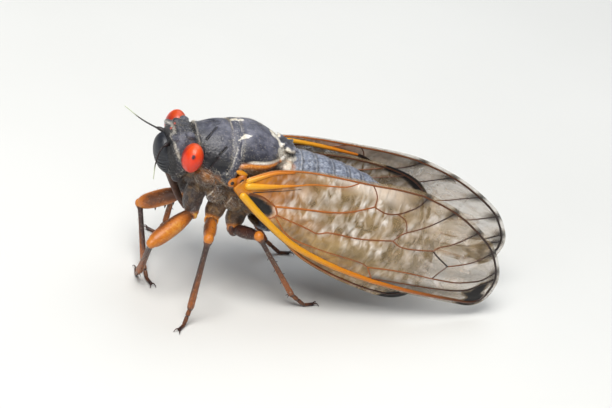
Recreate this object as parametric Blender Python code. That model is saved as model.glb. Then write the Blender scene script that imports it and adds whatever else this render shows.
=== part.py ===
"""A periodical cicada standing with its wings folded high along its sides, at life size.

The world frame: +X runs towards the wing tips, the animal's left side is at -Y, +Z is up, the floor
is z = 0. Body points are (back, left, up) in millimetres from the midpoint between the eyes, in the
body's own pitched frame. Wing points are (along, across): from the hinge towards the tip, and from
the middle of the wing towards its hind margin.
"""

import math

import bmesh
import bpy
import numpy as np
from mathutils import Matrix, Vector
from mathutils.geometry import delaunay_2d_cdt

MM = 0.001
GAP = 0.3

# Stance of the body
PITCH = math.radians(20.0)
EYE_HEIGHT = 17.6
CENTRE_X = -17.38
CENTRE_Y = 0.206

# Trunk: each section is (back, half width, top, bottom, bow), where bow moves the sides backwards
ROUND_SIDES = 24
END_BEVEL = 0.18
HEAD = (
    (-2.0, 1.30, 0.95, -1.0, 0.00),
    (-1.75, 2.10, 1.50, -1.9, 0.00),
    (-1.2, 2.50, 1.85, -2.9, 0.03),
    (-0.6, 2.62, 2.10, -3.6, 0.08),
    (0.25, 2.66, 2.30, -3.9, 0.10),
)
PRONOTUM = (
    (0.65, 2.90, 2.45, 0.0, 0.10),
    (1.1, 3.55, 2.95, 0.0, 0.09),
    (1.9, 4.10, 3.40, 0.0, 0.08),
    (2.8, 4.30, 3.78, 0.0, 0.065),
    (3.3, 4.36, 3.98, 0.0, 0.055),
    (3.42, 4.50, 4.14, 0.0, 0.05),
    (3.85, 4.55, 4.36, 0.0, 0.045),
)
PRONOTUM_UNDER = -0.3
MESONOTUM = (
    (4.45, 4.05, 4.52, 0.0, 0.045),
    (5.1, 4.12, 4.86, 0.0, 0.04),
    (6.2, 4.10, 5.12, 0.0, 0.03),
    (8.0, 3.90, 4.98, 0.0, 0.00),
    (8.9, 3.65, 4.76, 0.0, -0.02),
    (9.15, 3.55, 3.95, 0.0, -0.02),
    (10.2, 3.10, 3.75, 0.0, -0.04),
)
MESONOTUM_UNDER = 1.4
THORAX = (
    (0.75, 2.40, 0.0, -3.0, 0.10),
    (1.3, 2.90, 0.0, -3.5, 0.08),
    (2.0, 3.40, 0.0, -4.2, 0.04),
    (3.0, 3.85, 0.0, -4.9, 0.00),
    (4.85, 4.05, 0.0, -5.1, 0.00),
    (5.1, 4.05, 0.0, -5.1, 0.00),
    (6.3, 4.05, 0.0, -5.1, 0.00),
    (8.0, 4.00, 0.0, -5.0, 0.00),
    (9.4, 3.85, 0.0, -4.9, 0.00),
    (10.2, 3.75, 0.0, -4.8, 0.00),
)
THORAX_ROOF = 1.1
PROTHORAX_ROOF = -0.65
PROTHORAX_REAR = 4.85
STERNUM = -3.8
ABDOMEN_RINGS = (10.5, 12.2, 14.3, 16.4, 18.4, 20.3, 22.1, 23.8, 25.2)
ABDOMEN_SHAPE = (
    (10.5, 3.50, 3.40, -4.4),
    (11.6, 3.70, 3.75, -4.5),
    (12.5, 3.85, 4.25, -4.6),
    (15.0, 3.96, 4.62, -4.4),
    (18.5, 3.98, 4.92, -3.7),
    (21.5, 3.50, 4.86, -2.7),
    (24.0, 2.70, 4.30, -1.5),
    (25.2, 2.10, 3.85, -0.9),
)
TERGITE_STEP = 0.16
TAIL = (
    (25.5, 1.75, 3.45, -0.60, 0.0),
    (26.5, 1.45, 3.10, -0.30, 0.0),
    (27.4, 0.95, 2.60, 0.15, 0.0),
    (27.9, 0.40, 2.05, 0.75, 0.0),
)
SCUTELLUM_CENTRE = (10.5, 0.0, 4.50)
SCUTELLUM_HALF = (1.00, 1.60, 0.30)
SCUTELLUM_ARM = (1.80, 0.42, 0.30)
SCUTELLUM_SPREAD = math.radians(52.0)
SCUTELLUM_ARM_RISE = 0.20

# Head parts
EYES = {"eye_left": (0.10, 3.45, 0.0), "eye_right": (-0.35, -3.42, -0.12)}
EYE_HALF = (1.12, 1.40, 1.62)
EYE_SEAT = 2.96
OCELLUS_RADIUS = 0.24
OCELLI = ((-1.15, 0.0, 1.86), (-0.75, 0.42, 2.0), (-0.75, -0.42, 2.0))
CLYPEUS_CENTRE = (-0.95, 0.0, -2.15)
CLYPEUS_HALF = (2.35, 1.95, 1.35)
CLYPEUS_TILT = math.radians(47.0)
CLYPEUS_RINGS = 19
CLYPEUS_ARC = 12
CLYPEUS_REACH = 0.985
CLYPEUS_GROOVE = 0.09
ROSTRUM = ((0.95, 0.0, -4.35), (1.9, 0.0, -5.25), (3.2, 0.0, -6.3), (4.4, 0.0, -7.2))
ROSTRUM_RADII = (0.55, 0.46, 0.40, 0.26)
ANTENNAE = {
    "antenna_left": ((-2.35, 1.65, -0.55), (-2.95, 2.3, -1.1), (-2.8, 2.85, -2.6), (-2.1, 3.05, -4.2)),
    "antenna_right": ((-2.35, -1.55, -0.62), (-3.0, -1.9, -0.62), (-4.4, -2.85, -0.70),
                      (-6.2, -4.0, -0.86)),
}
ANTENNA_RADII = (0.34, 0.28, 0.25, 0.10)

# Wings
WING_THICKNESS = 0.5
WING_LENGTH = 34.8
# Each side's hinge as (back, outwards, up), then its yaw, pitch and roll in degrees
WINGS = {
    "left": ((6.3, 4.85, 0.0), (-3.0, 1.2, 77.0)),
    "right": ((7.8, 5.1, -1.2), (-5.0, 7.2, 87.0)),
}
WING_BOW = 1.8
WING_CAMBER = 0.03
HINDWING_INSET = 0.95
OUTLINE_STEP = 1.6
VEIN_STEP = 1.7
MESH_STEP = (2.6, 1.7)
MESH_MARGIN = 0.7
FOREWING_OUTLINE = (
    (-0.9, -0.6), (0.3, -1.4), (3.8, -2.9), (8.1, -4.3), (13.7, -4.9), (19.1, -4.9), (24.6, -4.5),
    (30.1, -3.9), (33.0, -3.5), (34.5, -2.4), (35.0, -0.6), (34.7, 1.0), (33.2, 2.9), (31.2, 4.3),
    (27.5, 5.7), (24.2, 6.4), (20.5, 6.7), (17.1, 6.3), (13.9, 5.7), (9.1, 4.9), (5.6, 4.1),
    (2.5, 2.9), (0.3, 1.2), (-0.5, 0.2),
)
HINDWING_OUTLINE = (
    (3.4, -0.8), (5.5, -3.0), (9.5, -5.0), (14.0, -5.9), (19.0, -6.2), (22.8, -6.0), (25.0, -4.8),
    (25.6, -2.6), (25.4, -0.2), (24.3, 2.0), (22.0, 3.9), (18.5, 4.6), (13.0, 4.2), (8.0, 3.0),
    (4.6, 1.4), (3.4, 0.3),
)
# A margin vein runs inside the outline from one of its points to another
FOREWING_MARGINS = (("costa", 1, 5), ("ambient", 5, 22))
HINDWING_MARGINS = (("ambient", 1, 14),)
# Half width, inset from the outline, and height above each face of the membrane
VEIN_SIZES = {"costa": (0.55, 0.52, 0.30), "ambient": (0.32, 0.38, 0.16), "vein": (0.34, 0.0, 0.20)}
VEIN_CLEARANCE = 0.26
FOREWING_VEINS = (
    ((0.6, 0.5), (3.2, 1.4), (7.3, 3.1), (10.7, 4.1), (12.3, 5.1)),
    ((0.1, 0.0), (2.2, 0.0), (4.2, -0.7)),
    ((4.2, -0.7), (4.8, -1.5), (4.2, -2.2)),
    ((4.8, -1.8), (7.3, -3.2), (11.2, -3.3), (16.2, -3.0), (17.6, -3.2)),
    ((4.2, -0.7), (6.8, 0.1), (10.2, 1.0), (12.3, 1.8), (13.9, 2.7), (14.9, 3.3)),
    ((14.9, 3.3), (14.9, 4.1), (14.5, 4.8), (13.8, 5.4)),
    ((14.9, 3.3), (16.5, 3.1), (18.0, 3.5), (19.3, 4.3), (20.3, 5.1), (21.2, 6.3)),
    ((18.0, 3.5), (19.3, 3.1), (20.0, 2.0)),
    ((20.0, 2.0), (21.4, 2.8), (23.0, 3.9), (25.4, 5.8)),
    ((20.0, 2.0), (19.3, 1.4), (18.8, 0.6)),
    ((4.8, -1.5), (8.4, -1.6), (10.0, -1.7), (11.3, -1.1), (14.9, -0.5), (18.8, 0.6)),
    ((18.8, 0.6), (19.9, 0.3), (21.3, 0.4), (24.3, 1.1)),
    ((24.3, 1.1), (24.9, 1.7), (26.6, 2.6), (29.5, 4.7)),
    ((24.3, 1.1), (25.1, 0.7), (27.1, 0.0)),
    ((27.1, 0.0), (28.6, 0.6), (30.4, 1.5), (32.6, 3.2)),
    ((27.1, 0.0), (26.5, -0.9), (26.0, -1.9)),
    ((26.0, -1.9), (29.1, -1.5), (31.1, -0.9), (32.7, -0.2), (34.1, 1.2)),
    ((17.6, -3.2), (20.3, -2.6), (22.9, -2.2), (26.0, -1.9)),
    ((17.6, -3.2), (18.8, -4.2)),
    ((19.2, -4.2), (21.5, -3.8), (24.0, -3.4), (26.6, -3.0), (29.3, -2.5), (31.3, -1.9),
     (32.7, -0.9), (34.2, 0.2)),
)
HINDWING_VEINS = (
    ((3.8, -0.1), (7.9, 1.4), (11.7, 2.0), (14.0, 2.5), (15.6, 3.1), (17.2, 4.1)),
    ((11.7, 2.0), (14.5, 1.6), (17.0, 2.4), (20.0, 4.1)),
    ((3.9, -0.3), (8.0, -0.6), (12.0, -0.9), (15.5, -0.4), (18.9, 0.7), (23.6, 1.9)),
    ((12.0, -0.9), (16.0, -2.2), (20.5, -2.6), (25.1, -2.3)),
    ((4.0, -0.6), (8.5, -2.7), (13.0, -3.9), (18.0, -4.4), (23.2, -4.6)),
    ((14.5, 1.6), (15.5, -0.4)),
    ((16.0, -2.2), (15.5, -4.1)),
)
# How much of a vein's height stands out on the outer and on the inner face
FOREWING_RELIEF = (1.0, 0.5)
HINDWING_RELIEF = (0.0, 1.0)

# Legs: the joints in body points, the feet as (back, left) where they meet the floor
COXA_TOP = STERNUM - GAP
COXA_DROP = 0.9
KNEE_RADIUS = 0.43
LEG_SIDES = 10
SHIN_SIDES = 8
SPINE_SIDES = 5
LEGS = {
    "front_left": dict(
        hip=(3.4, 1.95), trochanter=(4.5, 2.05, -6.4), knee=(1.05, 4.9, -10.35), foot=(4.57, -1.2),
        coxa=(1.15, 1.1, 0.78), thigh=(0.55, 1.00, 0.98, 0.50), shin=0.37, tarsus=2.9,
    ),
    "front_right": dict(
        hip=(3.4, -1.95), trochanter=(4.4, -2.05, -6.5), knee=(1.95, -4.3, -10.8), foot=(5.64, 1.5),
        coxa=(1.15, 1.1, 0.78), thigh=(0.55, 1.00, 0.98, 0.50), shin=0.37, tarsus=2.7,
    ),
    "middle_left": dict(
        hip=(6.3, 2.35), trochanter=(6.4, 3.1, -5.9), knee=(4.5, 8.45, -5.6), foot=(7.03, 10.07),
        coxa=(1.1, 1.05, 0.72), thigh=(0.50, 0.76, 0.70, 0.46), shin=0.36, tarsus=3.0,
    ),
    "middle_right": dict(
        hip=(6.3, -2.35), trochanter=(6.4, -3.1, -5.9), knee=(5.4, -8.3, -5.7), foot=(7.4, -9.7),
        coxa=(1.1, 1.05, 0.72), thigh=(0.50, 0.76, 0.70, 0.46), shin=0.36, tarsus=3.0,
    ),
    "hind_left": dict(
        hip=(8.9, 2.2), trochanter=(9.3, 3.0, -5.9), knee=(10.75, 5.9, -4.2), foot=(22.7, 3.6),
        coxa=(1.1, 1.05, 0.72), thigh=(0.50, 0.74, 0.68, 0.46), shin=0.36, tarsus=3.6,
    ),
    "hind_right": dict(
        hip=(8.9, -2.2), trochanter=(9.3, -3.0, -5.9), knee=(11.4, -6.4, -5.3), foot=(22.4, -6.6),
        coxa=(1.1, 1.05, 0.72), thigh=(0.50, 0.74, 0.68, 0.46), shin=0.36, tarsus=3.6,
    ),
}
ANKLE_LEAN = 0.25
SOLE_LENGTH = 1.1
SOLE_RADIUS = 0.28
SOLE_HEIGHT = 0.21
CLAW_RADII = (0.17, 0.15, 0.05)
CLAW_SPREAD = math.radians(28.0)
CLAW_ROOT = 0.35
# Each claw's middle and tip as (distance past the toe, height over the floor)
CLAW_MIDDLE = (0.35, 0.38)
CLAW_TIP = (0.75, 0.10)
# Spines under the front femora: (share of the femur, length, radius at the root)
FEMUR_SPINES = ((0.42, 0.55, 0.16), (0.62, 0.75, 0.19), (0.80, 0.85, 0.20))
SPINE_ROOT = 0.35
SPINE_LEAN = 0.35

# Colours as (red, green, blue), with each one's roughness
BLACK = ((0.020, 0.024, 0.035), 0.45)
SLATE = ((0.075, 0.085, 0.100), 0.50)
CHESTNUT = ((0.090, 0.045, 0.030), 0.50)
RED_EYE = ((0.70, 0.050, 0.020), 0.22)
AMBER = ((0.55, 0.200, 0.050), 0.40)
ORANGE_LEG = ((0.42, 0.110, 0.025), 0.42)
RED_BROWN = ((0.130, 0.030, 0.018), 0.42)
MEMBRANE = ((0.62, 0.50, 0.36), 0.25)


def body_to_world(point):
    """A (back, left, up) body point as a world vector in millimetres."""
    back, left, up = point
    x = back * math.cos(PITCH) + up * math.sin(PITCH)
    z = -back * math.sin(PITCH) + up * math.cos(PITCH) + EYE_HEIGHT
    return Vector((x + CENTRE_X, -left + CENTRE_Y, z))


def floor_point(back, left, height):
    """The world point over the floor's (back, left) spot, at this height."""
    up = (back * math.sin(PITCH) - EYE_HEIGHT) / math.cos(PITCH)
    spot = body_to_world((back, left, up))
    return Vector((spot.x, spot.y, height))


def make_material(name, look):
    colour, roughness = look
    material = bpy.data.materials.new(name)
    material.use_nodes = True
    shader = material.node_tree.nodes["Principled BSDF"]
    shader.inputs["Base Color"].default_value = (*colour, 1.0)
    shader.inputs["Roughness"].default_value = roughness
    shader.inputs["Metallic"].default_value = 0.0
    material.diffuse_color = (*colour, 1.0)
    return material


def make_object(name, bm, look, collection, parent=None):
    """Turns the bmesh, in millimetres, into a named object in metres."""
    bmesh.ops.scale(bm, vec=(MM, MM, MM), verts=bm.verts)
    bmesh.ops.recalc_face_normals(bm, faces=bm.faces)
    mesh = bpy.data.meshes.new(name)
    bm.to_mesh(mesh)
    bm.free()
    mesh.shade_smooth()
    mesh.set_sharp_from_angle(angle=math.radians(40))
    obj = bpy.data.objects.new(name, mesh)
    collection.objects.link(obj)
    obj.data.materials.append(make_material(name, look))
    if parent:
        obj.parent = parent
    return obj


def bridge_rings(bm, rings, fan=False):
    """Joins rings of equal length into one closed tube, its ends flat or fanned from a middle point."""
    loops = [[bm.verts.new(point) for point in ring] for ring in rings]
    count = len(loops[0])
    for near, far in zip(loops, loops[1:]):
        for i in range(count):
            j = (i + 1) % count
            bm.faces.new((near[i], near[j], far[j], far[i]))
    for loop in (loops[0], loops[-1]):
        if not fan:
            bm.faces.new(loop)
            continue
        middle = sum((vert.co for vert in loop), Vector()) / count
        middle.x = loop[count // 4].co.x
        middle = bm.verts.new(middle)
        for i in range(count):
            bm.faces.new((loop[i], loop[(i + 1) % count], middle))


def trunk_ring(section, lowest=None, highest=None):
    """One oval section of the trunk as body-frame points, cut flat below lowest or above highest."""
    back, half_width, top, bottom, bow = section
    if lowest is not None:
        bottom = 2 * lowest - top
    if highest is not None:
        top = 2 * highest - bottom
    middle = (top + bottom) / 2
    half_height = (top - bottom) / 2
    points = []
    for i in range(ROUND_SIDES):
        angle = 2 * math.pi * i / ROUND_SIDES
        left = half_width * math.cos(angle)
        up = middle + half_height * math.sin(angle)
        if lowest is not None:
            up = max(up, lowest)
        if highest is not None:
            up = min(up, highest)
        points.append(Vector((back + bow * left * left, -left, up)))
    return points


def trunk(name, rings, look, collection, parent):
    bm = bmesh.new()
    bridge_rings(bm, rings, fan=True)
    return make_object(name, bm, look, collection, parent)


def smooth_path(points, step):
    """Points about a step apart on a Catmull-Rom curve through these points."""
    knots = [Vector(p) for p in points]
    knots = [2 * knots[0] - knots[1]] + knots + [2 * knots[-1] - knots[-2]]
    path = [knots[1]]
    for a, b, c, d in zip(knots, knots[1:], knots[2:], knots[3:]):
        count = max(1, round((c - b).length / step))
        for k in range(1, count + 1):
            t = k / count
            path.append(
                0.5 * (2 * b + (c - a) * t + (2 * a - 5 * b + 4 * c - d) * t**2
                       + (3 * b - a - 3 * c + d) * t**3)
            )
    return path


def tube(bm, points, radii, sides, round_start=False, lead=None):
    """A closed tube through world points with a radius at each.

    Its ends are bevelled, or the first one is round. lead is the direction in which it starts.
    """
    points = [Vector(p) for p in points]
    radii = list(radii)
    onward = lead or (points[1] - points[0]).normalized()
    homeward = (points[-2] - points[-1]).normalized()
    first, last = radii[0], radii[-1]
    if round_start:
        turns = [math.radians(angle) for angle in (72.0, 38.0)]
        head = [points[0] - first * math.sin(turn) * onward for turn in turns] + points[:1]
        head_radii = [first * math.cos(turn) for turn in turns] + [first]
    else:
        head = [points[0], points[0] + END_BEVEL * first * onward]
        head_radii = [(1.0 - END_BEVEL) * first, first]
    points = head + points[1:-1] + [points[-1] + END_BEVEL * last * homeward, points[-1]]
    radii = head_radii + radii[1:-1] + [last, (1.0 - END_BEVEL) * last]
    side = onward.orthogonal().normalized()
    rings = []
    for i, (point, radius) in enumerate(zip(points, radii)):
        ahead = points[min(i + 1, len(points) - 1)] - points[max(i - 1, 0)]
        ahead = lead if lead and i < len(head) else ahead.normalized()
        side = (side - ahead * side.dot(ahead)).normalized()
        other = ahead.cross(side)
        turns = [2 * math.pi * k / sides for k in range(sides)]
        rings.append([point + radius * (math.cos(t) * side + math.sin(t) * other) for t in turns])
    bridge_rings(bm, rings)


def join_pieces(name, base, pieces, collection):
    """Fuses closed pieces into the base object and keeps the largest closed surface."""
    tools = bpy.data.collections.new(name + "_pieces")
    bpy.context.scene.collection.children.link(tools)
    for piece in pieces:
        collection.objects.unlink(piece)
        tools.objects.link(piece)
    union = base.modifiers.new("Union", "BOOLEAN")
    union.operation = "UNION"
    union.operand_type = "COLLECTION"
    union.collection = tools
    union.solver = "EXACT"
    graph = bpy.context.evaluated_depsgraph_get()
    fused = bpy.data.meshes.new_from_object(base.evaluated_get(graph))
    base.modifiers.clear()
    spare = base.data
    base.data = fused
    bpy.data.meshes.remove(spare)
    for piece in pieces:
        bpy.data.objects.remove(piece)
    bpy.data.collections.remove(tools)
    keep_largest(base.data)


def keep_largest(mesh):
    """Removes all but the closed surface that holds the most."""
    bm = bmesh.new()
    bm.from_mesh(mesh)
    left = set(bm.faces)
    shells = []
    while left:
        queue = [left.pop()]
        shell = list(queue)
        while queue:
            for edge in queue.pop().edges:
                for face in edge.link_faces:
                    if face in left:
                        left.discard(face)
                        queue.append(face)
                        shell.append(face)
        shells.append(shell)
    shells.sort(key=shell_volume)
    spare = [face for shell in shells[:-1] for face in shell]
    bmesh.ops.delete(bm, geom=spare, context="FACES")
    bm.to_mesh(mesh)
    bm.free()


def shell_volume(faces):
    total = 0.0
    for face in faces:
        corners = [loop.vert.co for loop in face.loops]
        for b, c in zip(corners[1:], corners[2:]):
            total += corners[0].dot(b.cross(c))
    return abs(total)


def cut_flat(bm, point, normal):
    """Removes what lies past the plane, on the side its normal points to, and closes the cut."""
    geometry = bm.verts[:] + bm.edges[:] + bm.faces[:]
    cut = bmesh.ops.bisect_plane(
        bm, geom=geometry, plane_co=point, plane_no=normal, clear_outer=True)
    edges = [e for e in cut["geom_cut"] if isinstance(e, bmesh.types.BMEdge)]
    bmesh.ops.holes_fill(bm, edges=edges, sides=0)


def ellipsoid(bm, centre, half, segments=16, rings=10, rotation=None):
    matrix = Matrix.Translation(centre) @ (rotation or Matrix()) @ Matrix.Diagonal((*half, 1.0))
    bmesh.ops.create_uvsphere(bm, u_segments=segments, v_segments=rings, radius=1.0, matrix=matrix)


def side_of(name):
    return -1.0 if name.endswith("left") else 1.0


def body_frame_point(point):
    """A (back, left, up) point as the body frame's own (x, y, z)."""
    return Vector((point[0], -point[1], point[2]))


def clypeus_plane():
    """A point and the forward normal of the plane between the head and its swollen face plate."""
    normal = Vector((-math.sin(CLYPEUS_TILT), 0.0, -math.cos(CLYPEUS_TILT)))
    return body_frame_point(CLYPEUS_CENTRE), normal


def make_head(collection, parent):
    bm = bmesh.new()
    bridge_rings(bm, [trunk_ring(section) for section in HEAD], fan=True)
    point, normal = clypeus_plane()
    cut_flat(bm, point - normal * GAP, normal)
    head = make_object("head", bm, BLACK, collection, parent)
    ocelli = []
    for i, centre in enumerate(OCELLI):
        bm = bmesh.new()
        ellipsoid(bm, body_frame_point(centre), (OCELLUS_RADIUS,) * 3, 8, 6)
        ocelli.append(make_object(f"ocellus_{i}", bm, RED_EYE, collection, parent))
    join_pieces("head", head, ocelli, collection)


def make_clypeus(collection, parent):
    """The swollen half oval of the face, with grooves that run across it and fade at its middle line."""
    length, half_width, depth = CLYPEUS_HALF
    rings = []
    for i in range(CLYPEUS_RINGS):
        share = CLYPEUS_REACH * math.sin(math.pi * (i / (CLYPEUS_RINGS - 1) - 0.5))
        swell = math.sqrt(1.0 - share**2)
        groove = CLYPEUS_GROOVE * swell if i % 2 else 0.0
        ring = []
        for k in range(CLYPEUS_ARC + 1):
            angle = math.pi * k / CLYPEUS_ARC
            fade = abs(math.sin(2.0 * angle))
            sunk = 1.0 - groove * fade
            ring.append(Vector((length * share, half_width * swell * sunk * math.cos(angle),
                                -depth * swell * sunk * math.sin(angle))))
        rings.append(ring)
    bm = bmesh.new()
    bridge_rings(bm, rings)
    turn = Matrix.Rotation(CLYPEUS_TILT, 4, "Y")
    bm.transform(Matrix.Translation(body_frame_point(CLYPEUS_CENTRE)) @ turn)
    make_object("clypeus", bm, BLACK, collection, parent)


def make_eye(name, collection, parent):
    side = side_of(name)
    bm = bmesh.new()
    ellipsoid(bm, body_frame_point(EYES[name]), EYE_HALF, 20, 14)
    cut_flat(bm, Vector((0.0, side * EYE_SEAT, 0.0)), Vector((0.0, -side, 0.0)))
    make_object(name, bm, RED_EYE, collection, parent)


def make_antenna(name, collection):
    bm = bmesh.new()
    tube(bm, [body_to_world(p) for p in ANTENNAE[name]], ANTENNA_RADII, SHIN_SIDES)
    make_object(name, bm, BLACK, collection)


def make_rostrum(collection):
    bm = bmesh.new()
    tube(bm, [body_to_world(p) for p in ROSTRUM], ROSTRUM_RADII, SHIN_SIDES)
    make_object("rostrum", bm, CHESTNUT, collection)


def make_thorax(collection, parent):
    rings = []
    for section in THORAX:
        roof = PROTHORAX_ROOF if section[0] <= PROTHORAX_REAR else THORAX_ROOF
        ring = trunk_ring(section, highest=roof)
        for point in ring:
            point.z = max(point.z, STERNUM)
        rings.append(ring)
    trunk("thorax", rings, CHESTNUT, collection, parent)


def interpolate_shape(back):
    """Half width, top and bottom of the abdomen at this place along it."""
    table = np.array(ABDOMEN_SHAPE)
    return [float(np.interp(back, table[:, 0], table[:, column])) for column in (1, 2, 3)]


def make_abdomen(collection, parent):
    """Overlapping rings: each tergite's hind edge stands a step above the next one's front."""
    rings = []
    for front, rear in zip(ABDOMEN_RINGS, ABDOMEN_RINGS[1:]):
        for back, swell in ((front + 0.06, -TERGITE_STEP), (rear - 0.35, 0.0), (rear, 0.0)):
            half_width, top, bottom = interpolate_shape(back)
            rings.append(trunk_ring(
                (back, half_width + swell, top + swell, bottom - swell, 0.0)))
    trunk("abdomen", rings, SLATE, collection, parent)


def make_scutellum(collection, parent):
    """The raised cross behind the mesonotum: a low shield with two ridges over it."""
    bm = bmesh.new()
    ellipsoid(bm, Vector(SCUTELLUM_CENTRE), SCUTELLUM_HALF, 16, 8)
    shield = make_object("scutellum", bm, BLACK, collection, parent)
    arms = []
    for side in (-1.0, 1.0):
        bm = bmesh.new()
        centre = Vector(SCUTELLUM_CENTRE) + Vector((0.0, 0.0, SCUTELLUM_ARM_RISE))
        turn = Matrix.Rotation(side * SCUTELLUM_SPREAD, 4, "Z")
        ellipsoid(bm, centre, SCUTELLUM_ARM, 12, 6, turn)
        arms.append(make_object(f"scutellum_arm_{side:+.0f}", bm, BLACK, collection, parent))
    join_pieces("scutellum", shield, arms, collection)


class WingSurface:
    """The curved middle surface of one wing in the body frame."""

    def __init__(self, side, hinge, angles, inset):
        yaw, pitch, roll = (math.radians(angle) for angle in angles)
        self.side = side
        self.hinge = Vector(hinge)
        self.inset = inset
        self.along = Vector((
            math.cos(yaw) * math.cos(pitch), math.sin(yaw) * math.cos(pitch), math.sin(pitch)))
        inward = Vector((math.sin(yaw), -math.cos(yaw), 0.0))
        inward = (inward - self.along * inward.dot(self.along)).normalized()
        upward = self.along.cross(inward)
        if upward.z < 0:
            upward = -upward
        self.across = math.cos(roll) * inward + math.sin(roll) * upward
        self.outward = self.across.cross(self.along)
        if self.outward.y < 0:
            self.outward = -self.outward

    def middle(self, along, across):
        share = along / WING_LENGTH
        bulge = WING_BOW * 4 * share * (1 - share) - WING_CAMBER * across**2 - self.inset
        return (self.hinge + along * self.along + across * self.across
                + bulge * self.outward)

    def point(self, along, across, lift):
        """The body-frame point this far outside the middle surface, or inside it if negative."""
        step = 0.05
        centre = self.middle(along, across)
        normal = (self.middle(along, across + step) - centre).cross(
            self.middle(along + step, across) - centre).normalized()
        if normal.dot(self.outward) < 0:
            normal = -normal
        back, left, up = centre + lift * normal
        return Vector((back, self.side * left, up))


def is_inside(point, outline):
    """Whether the flat point lies inside the closed outline."""
    inside = False
    for a, b in zip(outline, outline[1:] + outline[:1]):
        if (a.y > point.y) != (b.y > point.y):
            if point.x < a.x + (b.x - a.x) * (point.y - a.y) / (b.y - a.y):
                inside = not inside
    return inside


def field_points(outline, taken):
    """Staggered points over the membrane, clear of the outline and of the points taken."""
    low = min(p.x for p in outline)
    high = max(p.x for p in outline)
    bottom = min(p.y for p in outline)
    top = max(p.y for p in outline)
    found = []
    across = bottom + MESH_STEP[1] / 2
    row = 0
    while across < top:
        along = low + MESH_STEP[0] * (0.5 if row % 2 else 1.0)
        while along < high:
            point = Vector((along, across))
            if is_inside(point, outline):
                if all((point - other).length > MESH_MARGIN for other in taken):
                    found.append(point)
            along += MESH_STEP[0]
        across += MESH_STEP[1]
        row += 1
    return found


def flat_path(points, step):
    return [p.to_2d() for p in smooth_path([(*p, 0.0) for p in points], step)]


def margin_points(outline, first, last, inset):
    """The outline's points from first to last, each moved inwards."""
    moved = []
    for i in range(first, last + 1):
        before, here, after = (Vector(outline[j % len(outline)]) for j in (i - 1, i, i + 1))
        run = (after - before).normalized()
        moved.append(here + inset * Vector((-run.y, run.x)))
    return moved


def vein_crests(outline, margins, veins):
    """Each vein as (half width, height, flat points of its crest)."""
    crests = []
    for kind, first, last in margins:
        half_width, inset, height = VEIN_SIZES[kind]
        path = flat_path(margin_points(outline, first, last, inset), VEIN_STEP)
        crests.append((half_width, height, path))
    half_width, _, height = VEIN_SIZES["vein"]
    crests += [(half_width, height, flat_path(points, VEIN_STEP)) for points in veins]
    return crests


def crest_distance(point, crest):
    """How far the flat point lies from the polyline."""
    least = math.inf
    for a, b in zip(crest, crest[1:]):
        run = b - a
        share = max(0.0, min(1.0, (point - a).dot(run) / run.length_squared))
        least = min(least, (point - a - share * run).length)
    return least


def vein_height(point, crests):
    """The relief at a flat point: full on a crest, none past the vein's half width."""
    return max(
        (height * max(0.0, 1.0 - crest_distance(point, crest) / half_width)
         for half_width, height, crest in crests), default=0.0)


def foot_points(crests, outline):
    """Points along both feet of each vein, where no other vein or point stands too near."""
    taken = [p for _, _, crest in crests for p in crest] + list(outline)
    feet = []
    for half_width, _, crest in crests:
        others = [other for _, _, other in crests if other is not crest]
        for i, here in enumerate(crest):
            run = crest[min(i + 1, len(crest) - 1)] - crest[max(i - 1, 0)]
            normal = Vector((-run.y, run.x)).normalized()
            for side in (-1.0, 1.0):
                foot = here + side * half_width * normal
                if not is_inside(foot, outline):
                    continue
                if any(crest_distance(foot, other) < half_width for other in others):
                    continue
                if all((foot - point).length > VEIN_CLEARANCE for point in taken + feet):
                    feet.append(foot)
    return feet


def wing_triangles(outline, crests):
    """Flat points and triangles that fill the outline and follow the vein crests."""
    points = list(outline)
    edges = [(i, (i + 1) % len(outline)) for i in range(len(outline))]
    for _, _, crest in crests:
        start = len(points)
        points += crest
        edges += [(i, i + 1) for i in range(start, len(points) - 1)]
    points += foot_points(crests, outline)
    points += field_points(outline, points)
    vertices, _, faces, _, _, _ = delaunay_2d_cdt(points, edges, [], 1, 1e-3)
    return vertices, faces


def make_wing(name, plan, surface, collection, parent):
    """A membrane of even thickness with the veins raised in both its faces."""
    outline, margins, veins, (outer_relief, inner_relief) = plan
    rim = flat_path(outline + outline[:1], OUTLINE_STEP)[:-1]
    crests = vein_crests(outline, margins, veins)
    vertices, faces = wing_triangles(rim, crests)
    heights = [vein_height(v, crests) for v in vertices]
    bm = bmesh.new()
    half = WING_THICKNESS / 2
    outer = [bm.verts.new(surface.point(*v, half + outer_relief * h))
             for v, h in zip(vertices, heights)]
    inner = [bm.verts.new(surface.point(*v, -half - inner_relief * h))
             for v, h in zip(vertices, heights)]
    edge_use = {}
    for face in faces:
        bm.faces.new([outer[i] for i in face])
        bm.faces.new([inner[i] for i in reversed(face)])
        for a, b in zip(face, face[1:] + face[:1]):
            edge_use[(a, b)] = (b, a) not in edge_use
            if not edge_use[(a, b)]:
                del edge_use[(a, b)]
                del edge_use[(b, a)]
    for a, b in edge_use:
        bm.faces.new((outer[b], outer[a], inner[a], inner[b]))
    make_object(name, bm, MEMBRANE, collection, parent)


def make_coxa(name, leg, collection):
    """The short stout base of a leg, from the sternum's plane round to the trochanter."""
    top, middle, end = leg["coxa"]
    ball = leg["thigh"][0]
    hip = body_to_world((*leg["hip"], COXA_TOP))
    below = body_to_world((*leg["hip"], COXA_TOP - COXA_DROP))
    joint = body_to_world(leg["trochanter"])
    stop = joint + (below - joint).normalized() * (ball + GAP)
    path = [hip.lerp(below, t).lerp(below.lerp(stop, t), t) for t in (0.0, 0.35, 0.7, 1.0)]
    bm = bmesh.new()
    down = (below - hip).normalized()
    tube(bm, path, (top, (top + middle) / 2, middle, end), LEG_SIDES, lead=down)
    make_object(f"{name}_coxa", bm, SLATE, collection)


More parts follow.
